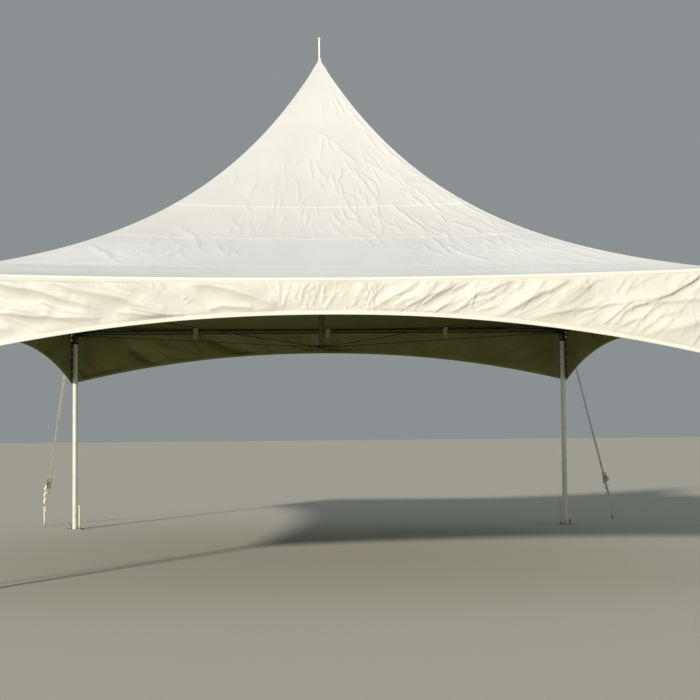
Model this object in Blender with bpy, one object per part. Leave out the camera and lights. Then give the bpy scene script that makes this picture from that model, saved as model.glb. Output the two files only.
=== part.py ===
"""Square high-peak marquee tent, 6.1 m between legs, in metres with +Z up.

The origin is on the ground under the peak, and the front faces -Y. Four legs carry
corner fittings and eave rails. Four cables cross from the fittings to the foot of a
short mast that floats in the middle and pushes the peak up. Straps with ratchets
hold the corners down to stakes, and stakes are cut off at the ground.
"""
import math

import bmesh
import bpy
from mathutils import Matrix, Vector

# Fits
TOUCH_GAP = 0.0003  # left where two pieces meet
SLIP_GAP = 0.0005  # left round a tube in its sleeve, or a stake in its hole
CUT_PAST = 0.02  # how far a cutter runs past the face that it opens

# Frame tubes
LEG_SPACING = 6.096  # between leg centres, both ways
LEG_DIAMETER = 0.0635
RAIL_DIAMETER = 0.0508
MAST_DIAMETER = 0.0508
TUBE_WALL = 0.003
RAIL_HEIGHT = 2.43  # rail centre line above the ground

# Corner fittings
SLEEVE_WALL = 0.006
LEG_SLEEVE_DROP = 0.14  # sleeve mouth below the rail centre line
RAIL_SLEEVE_REACH = 0.24  # sleeve mouth from the leg centre
RAIL_STOP = 0.05  # rail end from the leg centre
DOME_RADIUS = 0.06  # curve of the fitting's top, under the canopy's corner
LUG_REACH = 0.112  # strap bar from the leg centre
LUG_DROP = 0.055  # strap bar below the rail centre line
LUG_BAR_DIAMETER = 0.012
LUG_PLATE = 0.005
LUG_PLATE_HEIGHT = 0.04
SIDE_PLAY = 0.002  # webbing edge to lug plate or ratchet frame
DOME_SHARES = (1, 0.7, 0.35, 0.1)  # rings of the dome, as shares of the sleeve's radius
DOME_SAMPLES = 19

# Canopy
EAVE_OVERHANG = 0.056  # roof edge beyond the leg centres
CORNER_RISE = 0.075  # roof edge at the corners, above the rail centre line
ROOF_RISE = 2.525  # corners to the point where the hips would meet
HOLLOW = 2.07  # how hollow the hips are, 0 for straight
FABRIC = 0.004
CROWN_PLAY = 0.001  # cloth round the mast
HEM_DROP = 0.272  # valance hem below the rail centre line, mid-side
VALANCE_ARCH = 0.36  # how much lower the hem is at the corners
ARCH_POWER = 2.1
SLIT_PLAY = 0.006  # beside the strap lug, in the opening of the valance corner for it
SLIT_HEADROOM = 0.02  # above and below the lug

# Peak
HEAD_RADIUS = 0.05
HEAD_THICKNESS = 0.008
SPIGOT_LENGTH = 0.08
PIN_DIAMETER = 0.022
PIN_REACH = 0.23  # top of the pin above the point where the hips would meet
KNOB_DIAMETER = 0.03
KNOB_HEIGHT = 0.03
CAP_REACH = 0.075
CAP_THICKNESS = 0.0025
CAP_COLLAR = 0.008  # top of the collar above the point where the hips would meet

# Mast foot and cables
FOOT_DROP = 0.385  # foot's underside below the rail centre line
FOOT_RADIUS = 0.045
FOOT_HEIGHT = 0.045
FOOT_CHAMFER = 0.005
BOSS_DIAMETER = 0.026
FOOT_BOSS_REACH = 0.1
CORNER_BOSS_REACH = 0.1
CABLE_DROP = 0.03  # cable line below the rail centre line, at the leg centre
CABLE_DIAMETER = 0.009
TERMINAL_DIAMETER = 0.018
TERMINAL_LENGTH = 0.09

# Feet and stakes
PLATE_SIZE = 0.2
PLATE_THICKNESS = 0.008
STAKE_DIAMETER = 0.025
STAKE_HEAD_DIAMETER = 0.046
STAKE_HEAD_HEIGHT = 0.024
HEAD_FLARE = 0.25  # share of a head's height under its rim
HEAD_RIM = 0.5  # share of a head's height up to its dome
STAKE_INSET = 0.042  # leg stake from the plate's corner, along the diagonal
LEG_STAKE_HEIGHT = 0.3
PEG_HEIGHT = 0.06
PEG_CHAMFER = 0.003
GUY_STAKE_HEIGHT = 0.25
# Guy stake beyond the leg, along X and along Y. The ground decides how far a stake goes out,
# and opposite corners match.
GUY_REACH = {"front_right": 0.47, "back_right": 0.77, "back_left": 0.47, "front_left": 0.77}

# Webbing and ratchets
WEB_WIDTH = 0.03
WEB_THICKNESS = 0.0025
WEB_TAIL = 0.11  # sewn end below the lug bar
WEB_MEET = 0.04  # where the loop's two plies meet, below the lug bar
WEB_SETTLE = 0.3  # where the single ply is back on the guy's line, below the lug bar
LOOP_DEGREES = range(-70, -291, -20)  # turns of the loop round the lug bar
GATHER_START = 0.12  # where the webbing begins to narrow, above its turns round the stake
GATHER_MIDDLE = 0.05
HALF_GATHERED = (0.0145, 0.0055)  # width and thickness there
BUNCH = 0.009  # thickness of the webbing where it is gathered round the stake
BUNCH_DROP = 0.03  # gathered webbing below the stake's head
BUNCH_FALL = 0.022  # how far it comes down in its first quarter turn
BUNCH_LEAD = 0.004  # how far it stands off the stake where it starts to turn
BUNCH_LEAD_STEPS = 4
BUNCH_STEPS = 15
BUNCH_STEP = math.radians(22)
RATCHET_HEIGHT = 0.53  # ratchet centre above the ground
RATCHET_FRAME_LENGTH = 0.09
RATCHET_PLATE = 0.003
DRUM_DIAMETER = 0.016
RATCHET_BOLT_DIAMETER = 0.01
RATCHET_WHEEL_DIAMETER = 0.034
DRUM_BACK = 0.01  # drum behind the middle of the frame
BOLT_INSET = 0.01  # bolt from the frame's end
FRAME_UNDER = 0.008  # frame plates below the guy's line
FRAME_OVER = 0.018
HANDLE_LENGTH = 0.07
HANDLE_NOSE = 0.008  # handle plates ahead of the drum
HANDLE_DEPTH = 0.012
GRIP_LENGTH = 0.018

# Mesh fineness
TUBE_SIDES = 24
SMALL_SIDES = 10
ROOF_ROWS = 11
ROOF_COLUMNS = 8
VALANCE_COLUMNS = 2 * ROOF_COLUMNS

LEG_LINE = LEG_SPACING / 2
EAVE = LEG_LINE + EAVE_OVERHANG
LEG_RADIUS = LEG_DIAMETER / 2
RAIL_RADIUS = RAIL_DIAMETER / 2
MAST_RADIUS = MAST_DIAMETER / 2
LEG_SLEEVE_RADIUS = LEG_RADIUS + SLIP_GAP + SLEEVE_WALL
RAIL_SLEEVE_RADIUS = RAIL_RADIUS + SLIP_GAP + SLEEVE_WALL
LEG_TOP = RAIL_HEIGHT - RAIL_SLEEVE_RADIUS - SLEEVE_WALL
LUG_HALF = WEB_WIDTH / 2 + SIDE_PLAY  # middle of the lug to the inner face of each plate
LUG_HEIGHT = RAIL_HEIGHT - LUG_DROP
CORNER_HEIGHT = RAIL_HEIGHT + CORNER_RISE
PEAK_HEIGHT = CORNER_HEIGHT + ROOF_RISE
HEM_HEIGHT = RAIL_HEIGHT - HEM_DROP
FOOT_BOTTOM = RAIL_HEIGHT - FOOT_DROP
SPIGOT_RADIUS = MAST_RADIUS - TUBE_WALL - SLIP_GAP
DIAGONAL = math.sqrt(2)
STAKE_OFFSET = PLATE_SIZE / DIAGONAL - STAKE_INSET  # leg stake from the leg centre
BUNCH_RADIUS = (STAKE_DIAMETER / 2 + TOUCH_GAP) / math.cos(BUNCH_STEP / 2) + BUNCH / 2
BUNCH_HEIGHT = GUY_STAKE_HEIGHT - STAKE_HEAD_HEIGHT - BUNCH_DROP - BUNCH_FALL
UP = Vector((0, 0, 1))
SIDES = ("front", "right", "back", "left")
CORNERS = ("front_right", "back_right", "back_left", "front_left")


def clear_scene():
    for old in list(bpy.data.objects):
        bpy.data.objects.remove(old, do_unlink=True)


def principled(name, color, roughness, metallic=0.0):
    """One material of one colour, given as red, green and blue from 0 to 1."""
    made = bpy.data.materials.new(name)
    made.use_nodes = True
    shader = made.node_tree.nodes["Principled BSDF"]
    shader.inputs["Base Color"].default_value = (*color, 1)
    shader.inputs["Roughness"].default_value = roughness
    shader.inputs["Metallic"].default_value = metallic
    made.diffuse_color = (*color, 1)
    return made


def add_object(name, mesh, material, matrix=None):
    placed = bpy.data.objects.new(name, mesh)
    bpy.context.scene.collection.objects.link(placed)
    if not mesh.materials:
        mesh.materials.append(material)
    mesh.shade_smooth()
    mesh.set_sharp_from_angle(angle=math.radians(35))
    placed.matrix_world = matrix or Matrix.Identity(4)
    return placed


def side_matrix(turn):
    """From the front side's place to side number turn."""
    return Matrix.Rotation(turn * math.pi / 2, 4, "Z")


def corner_matrix(turn):
    """From a frame at the leg's foot, X outward along the diagonal, to corner number turn."""
    foot = Matrix.Translation((LEG_LINE, -LEG_LINE, 0))
    return side_matrix(turn) @ foot @ Matrix.Rotation(-math.pi / 4, 4, "Z")


def finish_mesh(bm):
    bmesh.ops.recalc_face_normals(bm, faces=bm.faces)
    mesh = bpy.data.meshes.new("piece")
    bm.to_mesh(mesh)
    bm.free()
    return mesh


def loft(rings, closed=False):
    """Skin equal rings of points, capped at both ends, or closed back on the first ring."""
    bm = bmesh.new()
    loops = [[bm.verts.new(point) for point in ring] for ring in rings]
    pairs = list(zip(loops, loops[1:]))
    if closed:
        pairs.append((loops[-1], loops[0]))
    else:
        bm.faces.new(loops[0])
        bm.faces.new(loops[-1])
    for low, high in pairs:
        for i in range(len(low)):
            j = (i + 1) % len(low)
            bm.faces.new((low[i], low[j], high[j], high[i]))
    return finish_mesh(bm)


def shell(outer, inner):
    """Closed sheet between two grids of points of the same size."""
    bm = bmesh.new()
    top = [[bm.verts.new(point) for point in row] for row in outer]
    under = [[bm.verts.new(point) for point in row] for row in inner]
    rows = len(top)
    columns = len(top[0])
    for i in range(rows - 1):
        for j in range(columns - 1):
            for grid in (top, under):
                bm.faces.new((grid[i][j], grid[i][j + 1], grid[i + 1][j + 1], grid[i + 1][j]))
    edge = [(0, j) for j in range(columns - 1)]
    edge += [(i, columns - 1) for i in range(rows - 1)]
    edge += [(rows - 1, j) for j in range(columns - 1, 0, -1)]
    edge += [(i, 0) for i in range(rows - 1, 0, -1)]
    for (i, j), (k, m) in zip(edge, edge[1:] + edge[:1]):
        bm.faces.new((top[i][j], top[k][m], under[k][m], under[i][j]))
    return finish_mesh(bm)


def cross_axes(direction):
    """Two unit vectors square to a direction; the second points up unless the direction does."""
    if abs(direction.normalized().z) > 0.999:
        return Vector((1, 0, 0)), Vector((0, 1, 0))
    side = direction.cross(UP).normalized()
    return side, side.cross(direction).normalized()


def circle(centre, direction, radius, sides):
    side, up = cross_axes(direction)
    turns = [2 * math.pi * i / sides for i in range(sides)]
    return [Vector(centre) + side * radius * math.cos(a) + up * radius * math.sin(a) for a in turns]


def rod(start, end, radius, sides=TUBE_SIDES):
    start = Vector(start)
    end = Vector(end)
    return loft([circle(point, end - start, radius, sides) for point in (start, end)])


def tube(start, end, radius, wall=TUBE_WALL, sides=TUBE_SIDES):
    start = Vector(start)
    end = Vector(end)
    ends = ((start, radius), (end, radius), (end, radius - wall), (start, radius - wall))
    return loft([circle(point, end - start, size, sides) for point, size in ends], closed=True)


def turned(profile, x=0.0, sides=TUBE_SIDES):
    """Solid of revolution about a vertical axis, from (radius, height) pairs, bottom first."""
    return loft([circle((x, 0, height), UP, radius, sides) for radius, height in profile])


def head_profile(radius, low, high):
    """Head of a stake or a pin, for turned: a short flare, an upright rim and a domed top."""
    rim = low + (high - low) * HEAD_RIM
    dome = [math.radians(degrees) for degrees in (0, 35, 65, 85)]
    return [(radius, low + (high - low) * HEAD_FLARE)] + [
        (radius * math.cos(a), rim + (high - rim) * math.sin(a)) for a in dome]


def block(low, high):
    (x0, y0, z0), (x1, y1, z1) = low, high
    plan = ((x0, y0), (x1, y0), (x1, y1), (x0, y1))
    return loft([[Vector((x, y, z)) for x, y in plan] for z in (z0, z1)])


def combine(base, joined=(), cut=()):
    """Join meshes to a base, then cut others out of it, and give the finished mesh."""
    target = bpy.data.objects.new("base", base)
    bpy.context.scene.collection.objects.link(target)
    used = [target]
    for operation, meshes in (("UNION", joined), ("DIFFERENCE", cut)):
        for mesh in meshes:
            tool = bpy.data.objects.new("tool", mesh)
            bpy.context.scene.collection.objects.link(tool)
            tool.hide_render = True
            tool.display_type = "WIRE"
            used.append(tool)
            modifier = target.modifiers.new(operation, "BOOLEAN")
            modifier.operation = operation
            modifier.solver = "EXACT"
            modifier.object = tool
    evaluated = target.evaluated_get(bpy.context.evaluated_depsgraph_get())
    finished = bpy.data.meshes.new_from_object(evaluated)
    for old in used:
        bpy.data.objects.remove(old, do_unlink=True)
    return finished


# Canopy surface

def hip_height(reach):
    """Height of a hip at a distance from the middle along X, a hollow curve up to the peak."""
    corner = math.exp(-HOLLOW)
    return CORNER_HEIGHT + ROOF_RISE * (math.exp(-HOLLOW * reach / EAVE) - corner) / (1 - corner)


def hip_slope(reach):
    corner = math.exp(-HOLLOW)
    return -ROOF_RISE * HOLLOW / EAVE * math.exp(-HOLLOW * reach / EAVE) / (1 - corner)


def stretch(reach):
    """Height taken by one unit of thickness, because the cloth slopes."""
    return math.hypot(1, hip_slope(reach))


# Mid-side, the cloth lies on the rail, which sets how far it sags below its corners.
SAG = hip_height(LEG_LINE) - (FABRIC + RAIL_RADIUS + TOUCH_GAP) * stretch(LEG_LINE) - RAIL_HEIGHT


def panel_sag(reach, across):
    return SAG * math.sin(math.pi / 2 * reach / LEG_LINE) * (1 - across ** 2)


def cloth_underside(reach, across):
    return hip_height(reach) - panel_sag(reach, across) - FABRIC * stretch(reach)


def roof_point(reach, across, depth):
    """Point of the front panel, across from -1 to 1 between its hips, depth into the cloth."""
    inward = depth * abs(hip_slope(reach)) / stretch(reach)
    height = hip_height(reach) - panel_sag(reach, across) - depth / stretch(reach)
    return Vector((across * (reach - inward - TOUCH_GAP), inward - reach, height))


def spread(count):
    return [2 * i / count - 1 for i in range(count + 1)]


CROWN_REACH = MAST_RADIUS + FABRIC + CROWN_PLAY
HEAD_ROW = HEAD_RADIUS + FABRIC


def roof_panel():
    """One gore, from the eave up to the crown, with rows at the rail, the cap and the mast head."""
    step = (LEG_LINE - CAP_REACH) / ROOF_ROWS
    reaches = [EAVE] + [LEG_LINE - step * i for i in range(ROOF_ROWS + 1)] + [HEAD_ROW, CROWN_REACH]
    grids = [[[roof_point(reach, across, depth) for across in spread(ROOF_COLUMNS)]
              for reach in reaches] for depth in (0, FABRIC)]
    return shell(*grids)


def valance():
    """Strip that hangs from the roof's edge, with an arched hem and a slit at each end."""
    columns = spread(VALANCE_COLUMNS)
    grids = []
    for reach in (EAVE, EAVE - FABRIC):
        half = reach - TOUCH_GAP
        top = [Vector((u * half, -reach, cloth_underside(EAVE, u) - TOUCH_GAP)) for u in columns]
        hem = [Vector((u * half, -reach, HEM_HEIGHT - VALANCE_ARCH * abs(u) ** ARCH_POWER))
               for u in columns]
        grids.append([top, hem])
    slit_half = LUG_HALF + LUG_PLATE + SLIT_PLAY
    slit_reach = LUG_PLATE_HEIGHT / 2 + SLIT_HEADROOM
    slits = []
    for turn in (0, 3):
        slit = block((-2 * slit_half, -slit_half, LUG_HEIGHT - slit_reach),
                     (2 * slit_half, slit_half, LUG_HEIGHT + slit_reach))
        slit.transform(corner_matrix(turn) @ Matrix.Translation((EAVE_OVERHANG * DIAGONAL, 0, 0)))
        slits.append(slit)
    return combine(shell(*grids), cut=slits)


# Frame

def dome_top():
    """Height of the fitting's dome that just clears the canopy lying on it."""
    heights = []
    for i in range(1, DOME_SAMPLES + 1):
        r = LEG_SLEEVE_RADIUS * i / DOME_SAMPLES
        for x, y in ((LEG_LINE + r, LEG_LINE), (LEG_LINE + r / DIAGONAL, LEG_LINE + r / DIAGONAL)):
            reach = max(x, y)
            heights.append(cloth_underside(reach, min(x, y) / reach) + r ** 2 / (2 * DOME_RADIUS))
    return min(heights) - TOUCH_GAP


CABLE_TOP = Vector((0, 0, RAIL_HEIGHT - CABLE_DROP))
CABLE_FOOT = Vector((-LEG_LINE * DIAGONAL, 0, FOOT_BOTTOM + FOOT_HEIGHT / 2))
CABLE_LINE = (CABLE_FOOT - CABLE_TOP).normalized()


def corner_fitting():
    """Sleeves for a leg and two rails, a domed top, a cable boss inside and a strap lug outside."""
    top = dome_top()
    rings = [LEG_SLEEVE_RADIUS * share for share in DOME_SHARES]
    mouth = RAIL_HEIGHT - LEG_SLEEVE_DROP
    body = turned([(LEG_SLEEVE_RADIUS, mouth)] + [(r, top - r ** 2 / (2 * DOME_RADIUS)) for r in rings])
    boss_end = CABLE_TOP + CABLE_LINE * CORNER_BOSS_REACH
    joined = [rod(CABLE_TOP, boss_end, BOSS_DIAMETER / 2, SMALL_SIDES)]
    cut = [rod((0, 0, mouth - CUT_PAST), (0, 0, LEG_TOP + TOUCH_GAP), LEG_RADIUS + SLIP_GAP)]
    centre = Vector((0, 0, RAIL_HEIGHT))
    inside_wall = LEG_SLEEVE_RADIUS - SLEEVE_WALL
    for turn in (-1, 1):
        along = Vector((-1, turn, 0)).normalized()
        joined.append(rod(centre, centre + along * RAIL_SLEEVE_REACH, RAIL_SLEEVE_RADIUS))
        cut.append(rod(centre + along * (RAIL_STOP - TOUCH_GAP),
                       centre + along * (RAIL_SLEEVE_REACH + CUT_PAST), RAIL_RADIUS + SLIP_GAP))
        near, far = sorted((turn * LUG_HALF, turn * (LUG_HALF + LUG_PLATE)))
        joined.append(block((inside_wall, near, LUG_HEIGHT - LUG_PLATE_HEIGHT / 2),
                            (LUG_REACH + LUG_BAR_DIAMETER, far, LUG_HEIGHT + LUG_PLATE_HEIGHT / 2)))
    half_bar = Vector((0, LUG_HALF + LUG_PLATE / 2, 0))
    bar = Vector((LUG_REACH, 0, LUG_HEIGHT))
    joined.append(rod(bar - half_bar, bar + half_bar, LUG_BAR_DIAMETER / 2, SMALL_SIDES))
    return combine(body, joined, cut)


def leg():
    return tube((0, 0, PLATE_THICKNESS + TOUCH_GAP), (0, 0, LEG_TOP), LEG_RADIUS)


def eave_rail():
    end = LEG_LINE - RAIL_STOP
    return tube((-end, -LEG_LINE, RAIL_HEIGHT), (end, -LEG_LINE, RAIL_HEIGHT), RAIL_RADIUS)


def cable():
    """Taut cable with a swaged terminal at each end, from the corner boss to the foot boss."""
    start = CABLE_TOP + CABLE_LINE * (CORNER_BOSS_REACH + TOUCH_GAP)
    end = CABLE_FOOT - CABLE_LINE * (FOOT_BOSS_REACH + TOUCH_GAP)
    neck = CABLE_LINE * TERMINAL_LENGTH
    taper = CABLE_LINE * TERMINAL_DIAMETER / 2
    wide = TERMINAL_DIAMETER / 2
    thin = CABLE_DIAMETER / 2
    stations = ((start, wide), (start + neck - taper, wide), (start + neck, thin),
                (end - neck, thin), (end - neck + taper, wide), (end, wide))
    return loft([circle(point, CABLE_LINE, radius, SMALL_SIDES) for point, radius in stations])


def mast_foot():
    """Hub under the mast, with a spigot up into it and a boss towards each cable."""
    top = FOOT_BOTTOM + FOOT_HEIGHT
    narrow = FOOT_RADIUS - FOOT_CHAMFER
    hub = turned([(narrow, FOOT_BOTTOM), (FOOT_RADIUS, FOOT_BOTTOM + FOOT_CHAMFER),
                  (FOOT_RADIUS, top - FOOT_CHAMFER), (narrow, top), (SPIGOT_RADIUS, top),
                  (SPIGOT_RADIUS, top + SPIGOT_LENGTH)])
    middle = Vector((0, 0, FOOT_BOTTOM + FOOT_HEIGHT / 2))
    bosses = []
    for turn in range(4):
        along = side_matrix(turn) @ (Matrix.Rotation(math.pi / 4, 4, "Z") @ -CABLE_LINE)
        bosses.append(rod(middle, middle + along * FOOT_BOSS_REACH, BOSS_DIAMETER / 2, SMALL_SIDES))
    return combine(hub, bosses)


HEAD_TOP = cloth_underside(HEAD_RADIUS, 0) - TOUCH_GAP * stretch(HEAD_RADIUS)


def mast():
    low = FOOT_BOTTOM + FOOT_HEIGHT + TOUCH_GAP
    high = HEAD_TOP - HEAD_THICKNESS - TOUCH_GAP
    return tube((0, 0, low), (0, 0, high), MAST_RADIUS)


def mast_head():
    """Turned head: spigot in the mast, flange under the cloth, cone and the long peak pin."""
    pin = PIN_DIAMETER / 2
    pin_top = PEAK_HEIGHT + PIN_REACH
    seat = HEAD_TOP - HEAD_THICKNESS
    shaft = [(SPIGOT_RADIUS, seat - SPIGOT_LENGTH), (SPIGOT_RADIUS, seat), (HEAD_RADIUS, seat),
             (HEAD_RADIUS, HEAD_TOP), (pin, hip_height(CROWN_REACH) - FABRIC),
             (pin, pin_top - KNOB_HEIGHT)]
    return turned(shaft + head_profile(KNOB_DIAMETER / 2, pin_top - KNOB_HEIGHT, pin_top))


def peak_cap():
    """Four-sided cap of the canopy's own cloth over the crown, drawn in round the pin."""
    inner = []
    outer = []
    collar = PIN_DIAMETER / 2 + SLIP_GAP
    for reach in (CAP_REACH, HEAD_ROW, CROWN_REACH, collar + CAP_THICKNESS):
        lean = abs(hip_slope(reach)) / stretch(reach)
        for line, offset in ((inner, TOUCH_GAP), (outer, TOUCH_GAP + CAP_THICKNESS)):
            line.append((reach + offset * lean, hip_height(reach) + offset / stretch(reach)))
    inner.append((collar, PEAK_HEIGHT + CAP_COLLAR))
    outer.append((collar + CAP_THICKNESS, PEAK_HEIGHT + CAP_COLLAR))
    signs = ((-1, -1), (1, -1), (1, 1), (-1, 1))
    return loft([[Vector((x * reach, y * reach, height)) for x, y in signs]
                 for reach, height in outer + inner[::-1]], closed=True)


# Feet, stakes and guys, in the corner's own frame

def base_plate():
    """Square plate with a spigot in the leg, a hole for the leg stake and a short peg."""
    corner = PLATE_SIZE / DIAGONAL
    plate = loft([circle((0, 0, z), UP, corner, 4) for z in (0, PLATE_THICKNESS)])
    inside = LEG_RADIUS - TUBE_WALL - SLIP_GAP
    spigot = rod((0, 0, PLATE_THICKNESS / 2), (0, 0, PLATE_THICKNESS + SPIGOT_LENGTH), inside)
    shaft = STAKE_DIAMETER / 2
    peg = turned([(shaft, PLATE_THICKNESS / 2), (shaft, PEG_HEIGHT - PEG_CHAMFER),
                  (shaft - PEG_CHAMFER, PEG_HEIGHT)], STAKE_OFFSET, SMALL_SIDES)
    hole = rod((-STAKE_OFFSET, 0, -PLATE_THICKNESS), (-STAKE_OFFSET, 0, 2 * PLATE_THICKNESS),
               shaft + SLIP_GAP, SMALL_SIDES)
    return combine(plate, [spigot, peg], [hole])


def stake(height, x):
    shaft = STAKE_DIAMETER / 2
    neck = height - STAKE_HEAD_HEIGHT
    head = head_profile(STAKE_HEAD_DIAMETER / 2, neck, height)
    return turned([(shaft, 0), (shaft, neck)] + head, x, SMALL_SIDES)


def guy_line(reach):
    """Start, direction and length of a guy, from the lug bar to the neck of its stake."""
    bar = Vector((LUG_REACH, 0, LUG_HEIGHT))
    neck = Vector((reach * DIAGONAL - BUNCH_RADIUS - BUNCH_LEAD, 0, BUNCH_HEIGHT + BUNCH_FALL))
    return bar, (neck - bar).normalized(), (neck - bar).length


def web_section(point, heading, across, width, thickness):
    """Rectangle of webbing at a point, square to its heading."""
    face = heading.cross(across).normalized()
    flat = face.cross(heading).normalized()
    corners = ((-1, -1), (1, -1), (1, 1), (-1, 1))
    return [point + flat * (a * width / 2) + face * (b * thickness / 2) for a, b in corners]


def guy_strap(reach):
    """Webbing sewn in a loop round the lug bar, run down to the stake and gathered round its neck."""
    bar, heading, length = guy_line(reach)
    across = Vector((0, 1, 0))
    face = heading.cross(across).normalized()
    around = LUG_BAR_DIAMETER / 2 + WEB_THICKNESS / 2 + TOUCH_GAP
    beside = WEB_THICKNESS / 2 + TOUCH_GAP
    points = [bar + heading * WEB_TAIL - face * beside, bar + heading * WEB_MEET - face * beside]
    for degrees in LOOP_DEGREES:
        angle = math.radians(degrees)
        points.append(bar + (heading * math.cos(angle) + face * math.sin(angle)) * around)
    points += [bar + heading * WEB_MEET + face * beside, bar + heading * WEB_SETTLE + face * beside]
    points.append(bar + heading * (length - GATHER_START))
    widths = [(WEB_WIDTH, WEB_THICKNESS)] * len(points)
    points.append(bar + heading * (length - GATHER_MIDDLE))
    widths.append(HALF_GATHERED)
    for step in range(BUNCH_STEPS):
        angle = math.pi + BUNCH_STEP * step
        start = max(0, 1 - step / BUNCH_LEAD_STEPS)
        radius = BUNCH_RADIUS + BUNCH_LEAD * start
        points.append(Vector((reach * DIAGONAL + radius * math.cos(angle), radius * math.sin(angle),
                              BUNCH_HEIGHT + BUNCH_FALL * start)))
        widths.append((BUNCH, BUNCH))
    rings = []
    for i, point in enumerate(points):
        ahead = (points[min(i + 1, len(points) - 1)] - points[max(i - 1, 0)]).normalized()
        if i >= len(points) - BUNCH_STEPS:
            across = Vector((reach * DIAGONAL - point.x, -point.y, 0)).cross(ahead)
        rings.append(web_section(point, ahead, across, *widths[i]))
    return loft(rings)


def ratchet():
    """Ratchet round the webbing: X down the strap, Y across it, Z off its face."""
    half = RATCHET_FRAME_LENGTH / 2
    inner = WEB_WIDTH / 2 + SIDE_PLAY
    outer = inner + RATCHET_PLATE
    wheel = outer + RATCHET_PLATE
    arm = wheel + RATCHET_PLATE
    lie = WEB_THICKNESS / 2 + TOUCH_GAP
    across = Vector((0, 1, 0))
    drum = Vector((-DRUM_BACK, 0, lie + DRUM_DIAMETER / 2))
    bolt = Vector((half - BOLT_INSET, 0, lie + RATCHET_BOLT_DIAMETER / 2))
    low = drum.z - HANDLE_DEPTH / 2
    high = drum.z + HANDLE_DEPTH / 2
    back = drum.x - HANDLE_LENGTH
    joined = [rod(drum - across * arm, drum + across * arm, DRUM_DIAMETER / 2, SMALL_SIDES),
              rod(bolt - across * outer, bolt + across * outer, RATCHET_BOLT_DIAMETER / 2, SMALL_SIDES)]
    for side in (-1, 1):
        near, far = sorted((side * inner, side * outer))
        joined.append(block((-half, near, -FRAME_UNDER), (half, far, FRAME_OVER)))
        joined.append(rod(drum + across * side * inner, drum + across * side * wheel,
                          RATCHET_WHEEL_DIAMETER / 2, SMALL_SIDES))
        near, far = sorted((side * wheel, side * arm))
        joined.append(block((back, near, low), (drum.x + HANDLE_NOSE, far, high)))
    grip = block((back, -arm, low + RATCHET_PLATE / 2), (back + GRIP_LENGTH, arm, high + RATCHET_PLATE / 2))
    return combine(grip, joined)


def ratchet_matrix(reach):
    """Place of the ratchet on its guy, in the corner's frame."""
    bar, heading, length = guy_line(reach)
    centre = bar + heading * ((RATCHET_HEIGHT - bar.z) / heading.z)
    across = Vector((0, 1, 0))
    face = heading.cross(across).normalized()
    axes = Matrix((heading, across, face)).transposed().to_4x4()
    return Matrix.Translation(centre) @ axes


clear_scene()
VINYL = principled("white_vinyl", (0.86, 0.85, 0.77), 0.45)
ALUMINIUM = principled("mill_aluminium", (0.78, 0.78, 0.76), 0.35, 1.0)
DARK_STEEL = principled("painted_steel_fitting", (0.06, 0.06, 0.05), 0.5, 0.2)
WIRE = principled("galvanised_wire", (0.42, 0.42, 0.4), 0.45, 1.0)
ZINC = principled("zinc_plated_steel", (0.5, 0.49, 0.45), 0.4, 1.0)
WEBBING = principled("polyester_webbing", (0.75, 0.74, 0.7), 0.8)
STAKE_STEEL = principled("forged_steel", (0.2, 0.17, 0.15), 0.7, 0.6)

meshes = {name: make() for name, make in (
    ("roof_panel", roof_panel), ("valance", valance), ("eave_rail", eave_rail), ("leg", leg),
    ("corner_fitting", corner_fitting), ("base_plate", base_plate), ("mast_cable", cable))}

for turn, side in enumerate(SIDES):
    for piece, material in (("roof_panel", VINYL), ("valance", VINYL), ("eave_rail", ALUMINIUM)):
        add_object(f"{piece}_{side}", meshes[piece], material, side_matrix(turn))

leg_stake = stake(LEG_STAKE_HEIGHT, -STAKE_OFFSET)
ratchet_mesh = ratchet()
for turn, corner in enumerate(CORNERS):
    place = corner_matrix(turn)
    reach = GUY_REACH[corner]
    for piece, material in (("leg", ALUMINIUM), ("corner_fitting", DARK_STEEL), ("base_plate", ZINC),
                            ("mast_cable", WIRE)):
        add_object(f"{piece}_{corner}", meshes[piece], material, place)
    add_object(f"leg_stake_{corner}", leg_stake, STAKE_STEEL, place)
    add_object(f"guy_strap_{corner}", guy_strap(reach), WEBBING, place)
    add_object(f"ratchet_{corner}", ratchet_mesh, ZINC, place @ ratchet_matrix(reach))
    add_object(f"guy_stake_{corner}", stake(GUY_STAKE_HEIGHT, reach * DIAGONAL), STAKE_STEEL, place)

add_object("mast", mast(), ALUMINIUM)
add_object("mast_foot", mast_foot(), DARK_STEEL)
add_object("mast_head", mast_head(), ALUMINIUM)
add_object("peak_cap", peak_cap(), VINYL)
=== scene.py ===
# %% [markdown]
# # A frame marquee with a floating mast
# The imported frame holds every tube, fitting, stake and strap at its real size. This lesson adds
# what the eye reads as a marquee: the canopy's cloth with its welds and creases, the ties and
# laces that hold it, and a finish for each piece. Everything is in metres, with +Z up.

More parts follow.
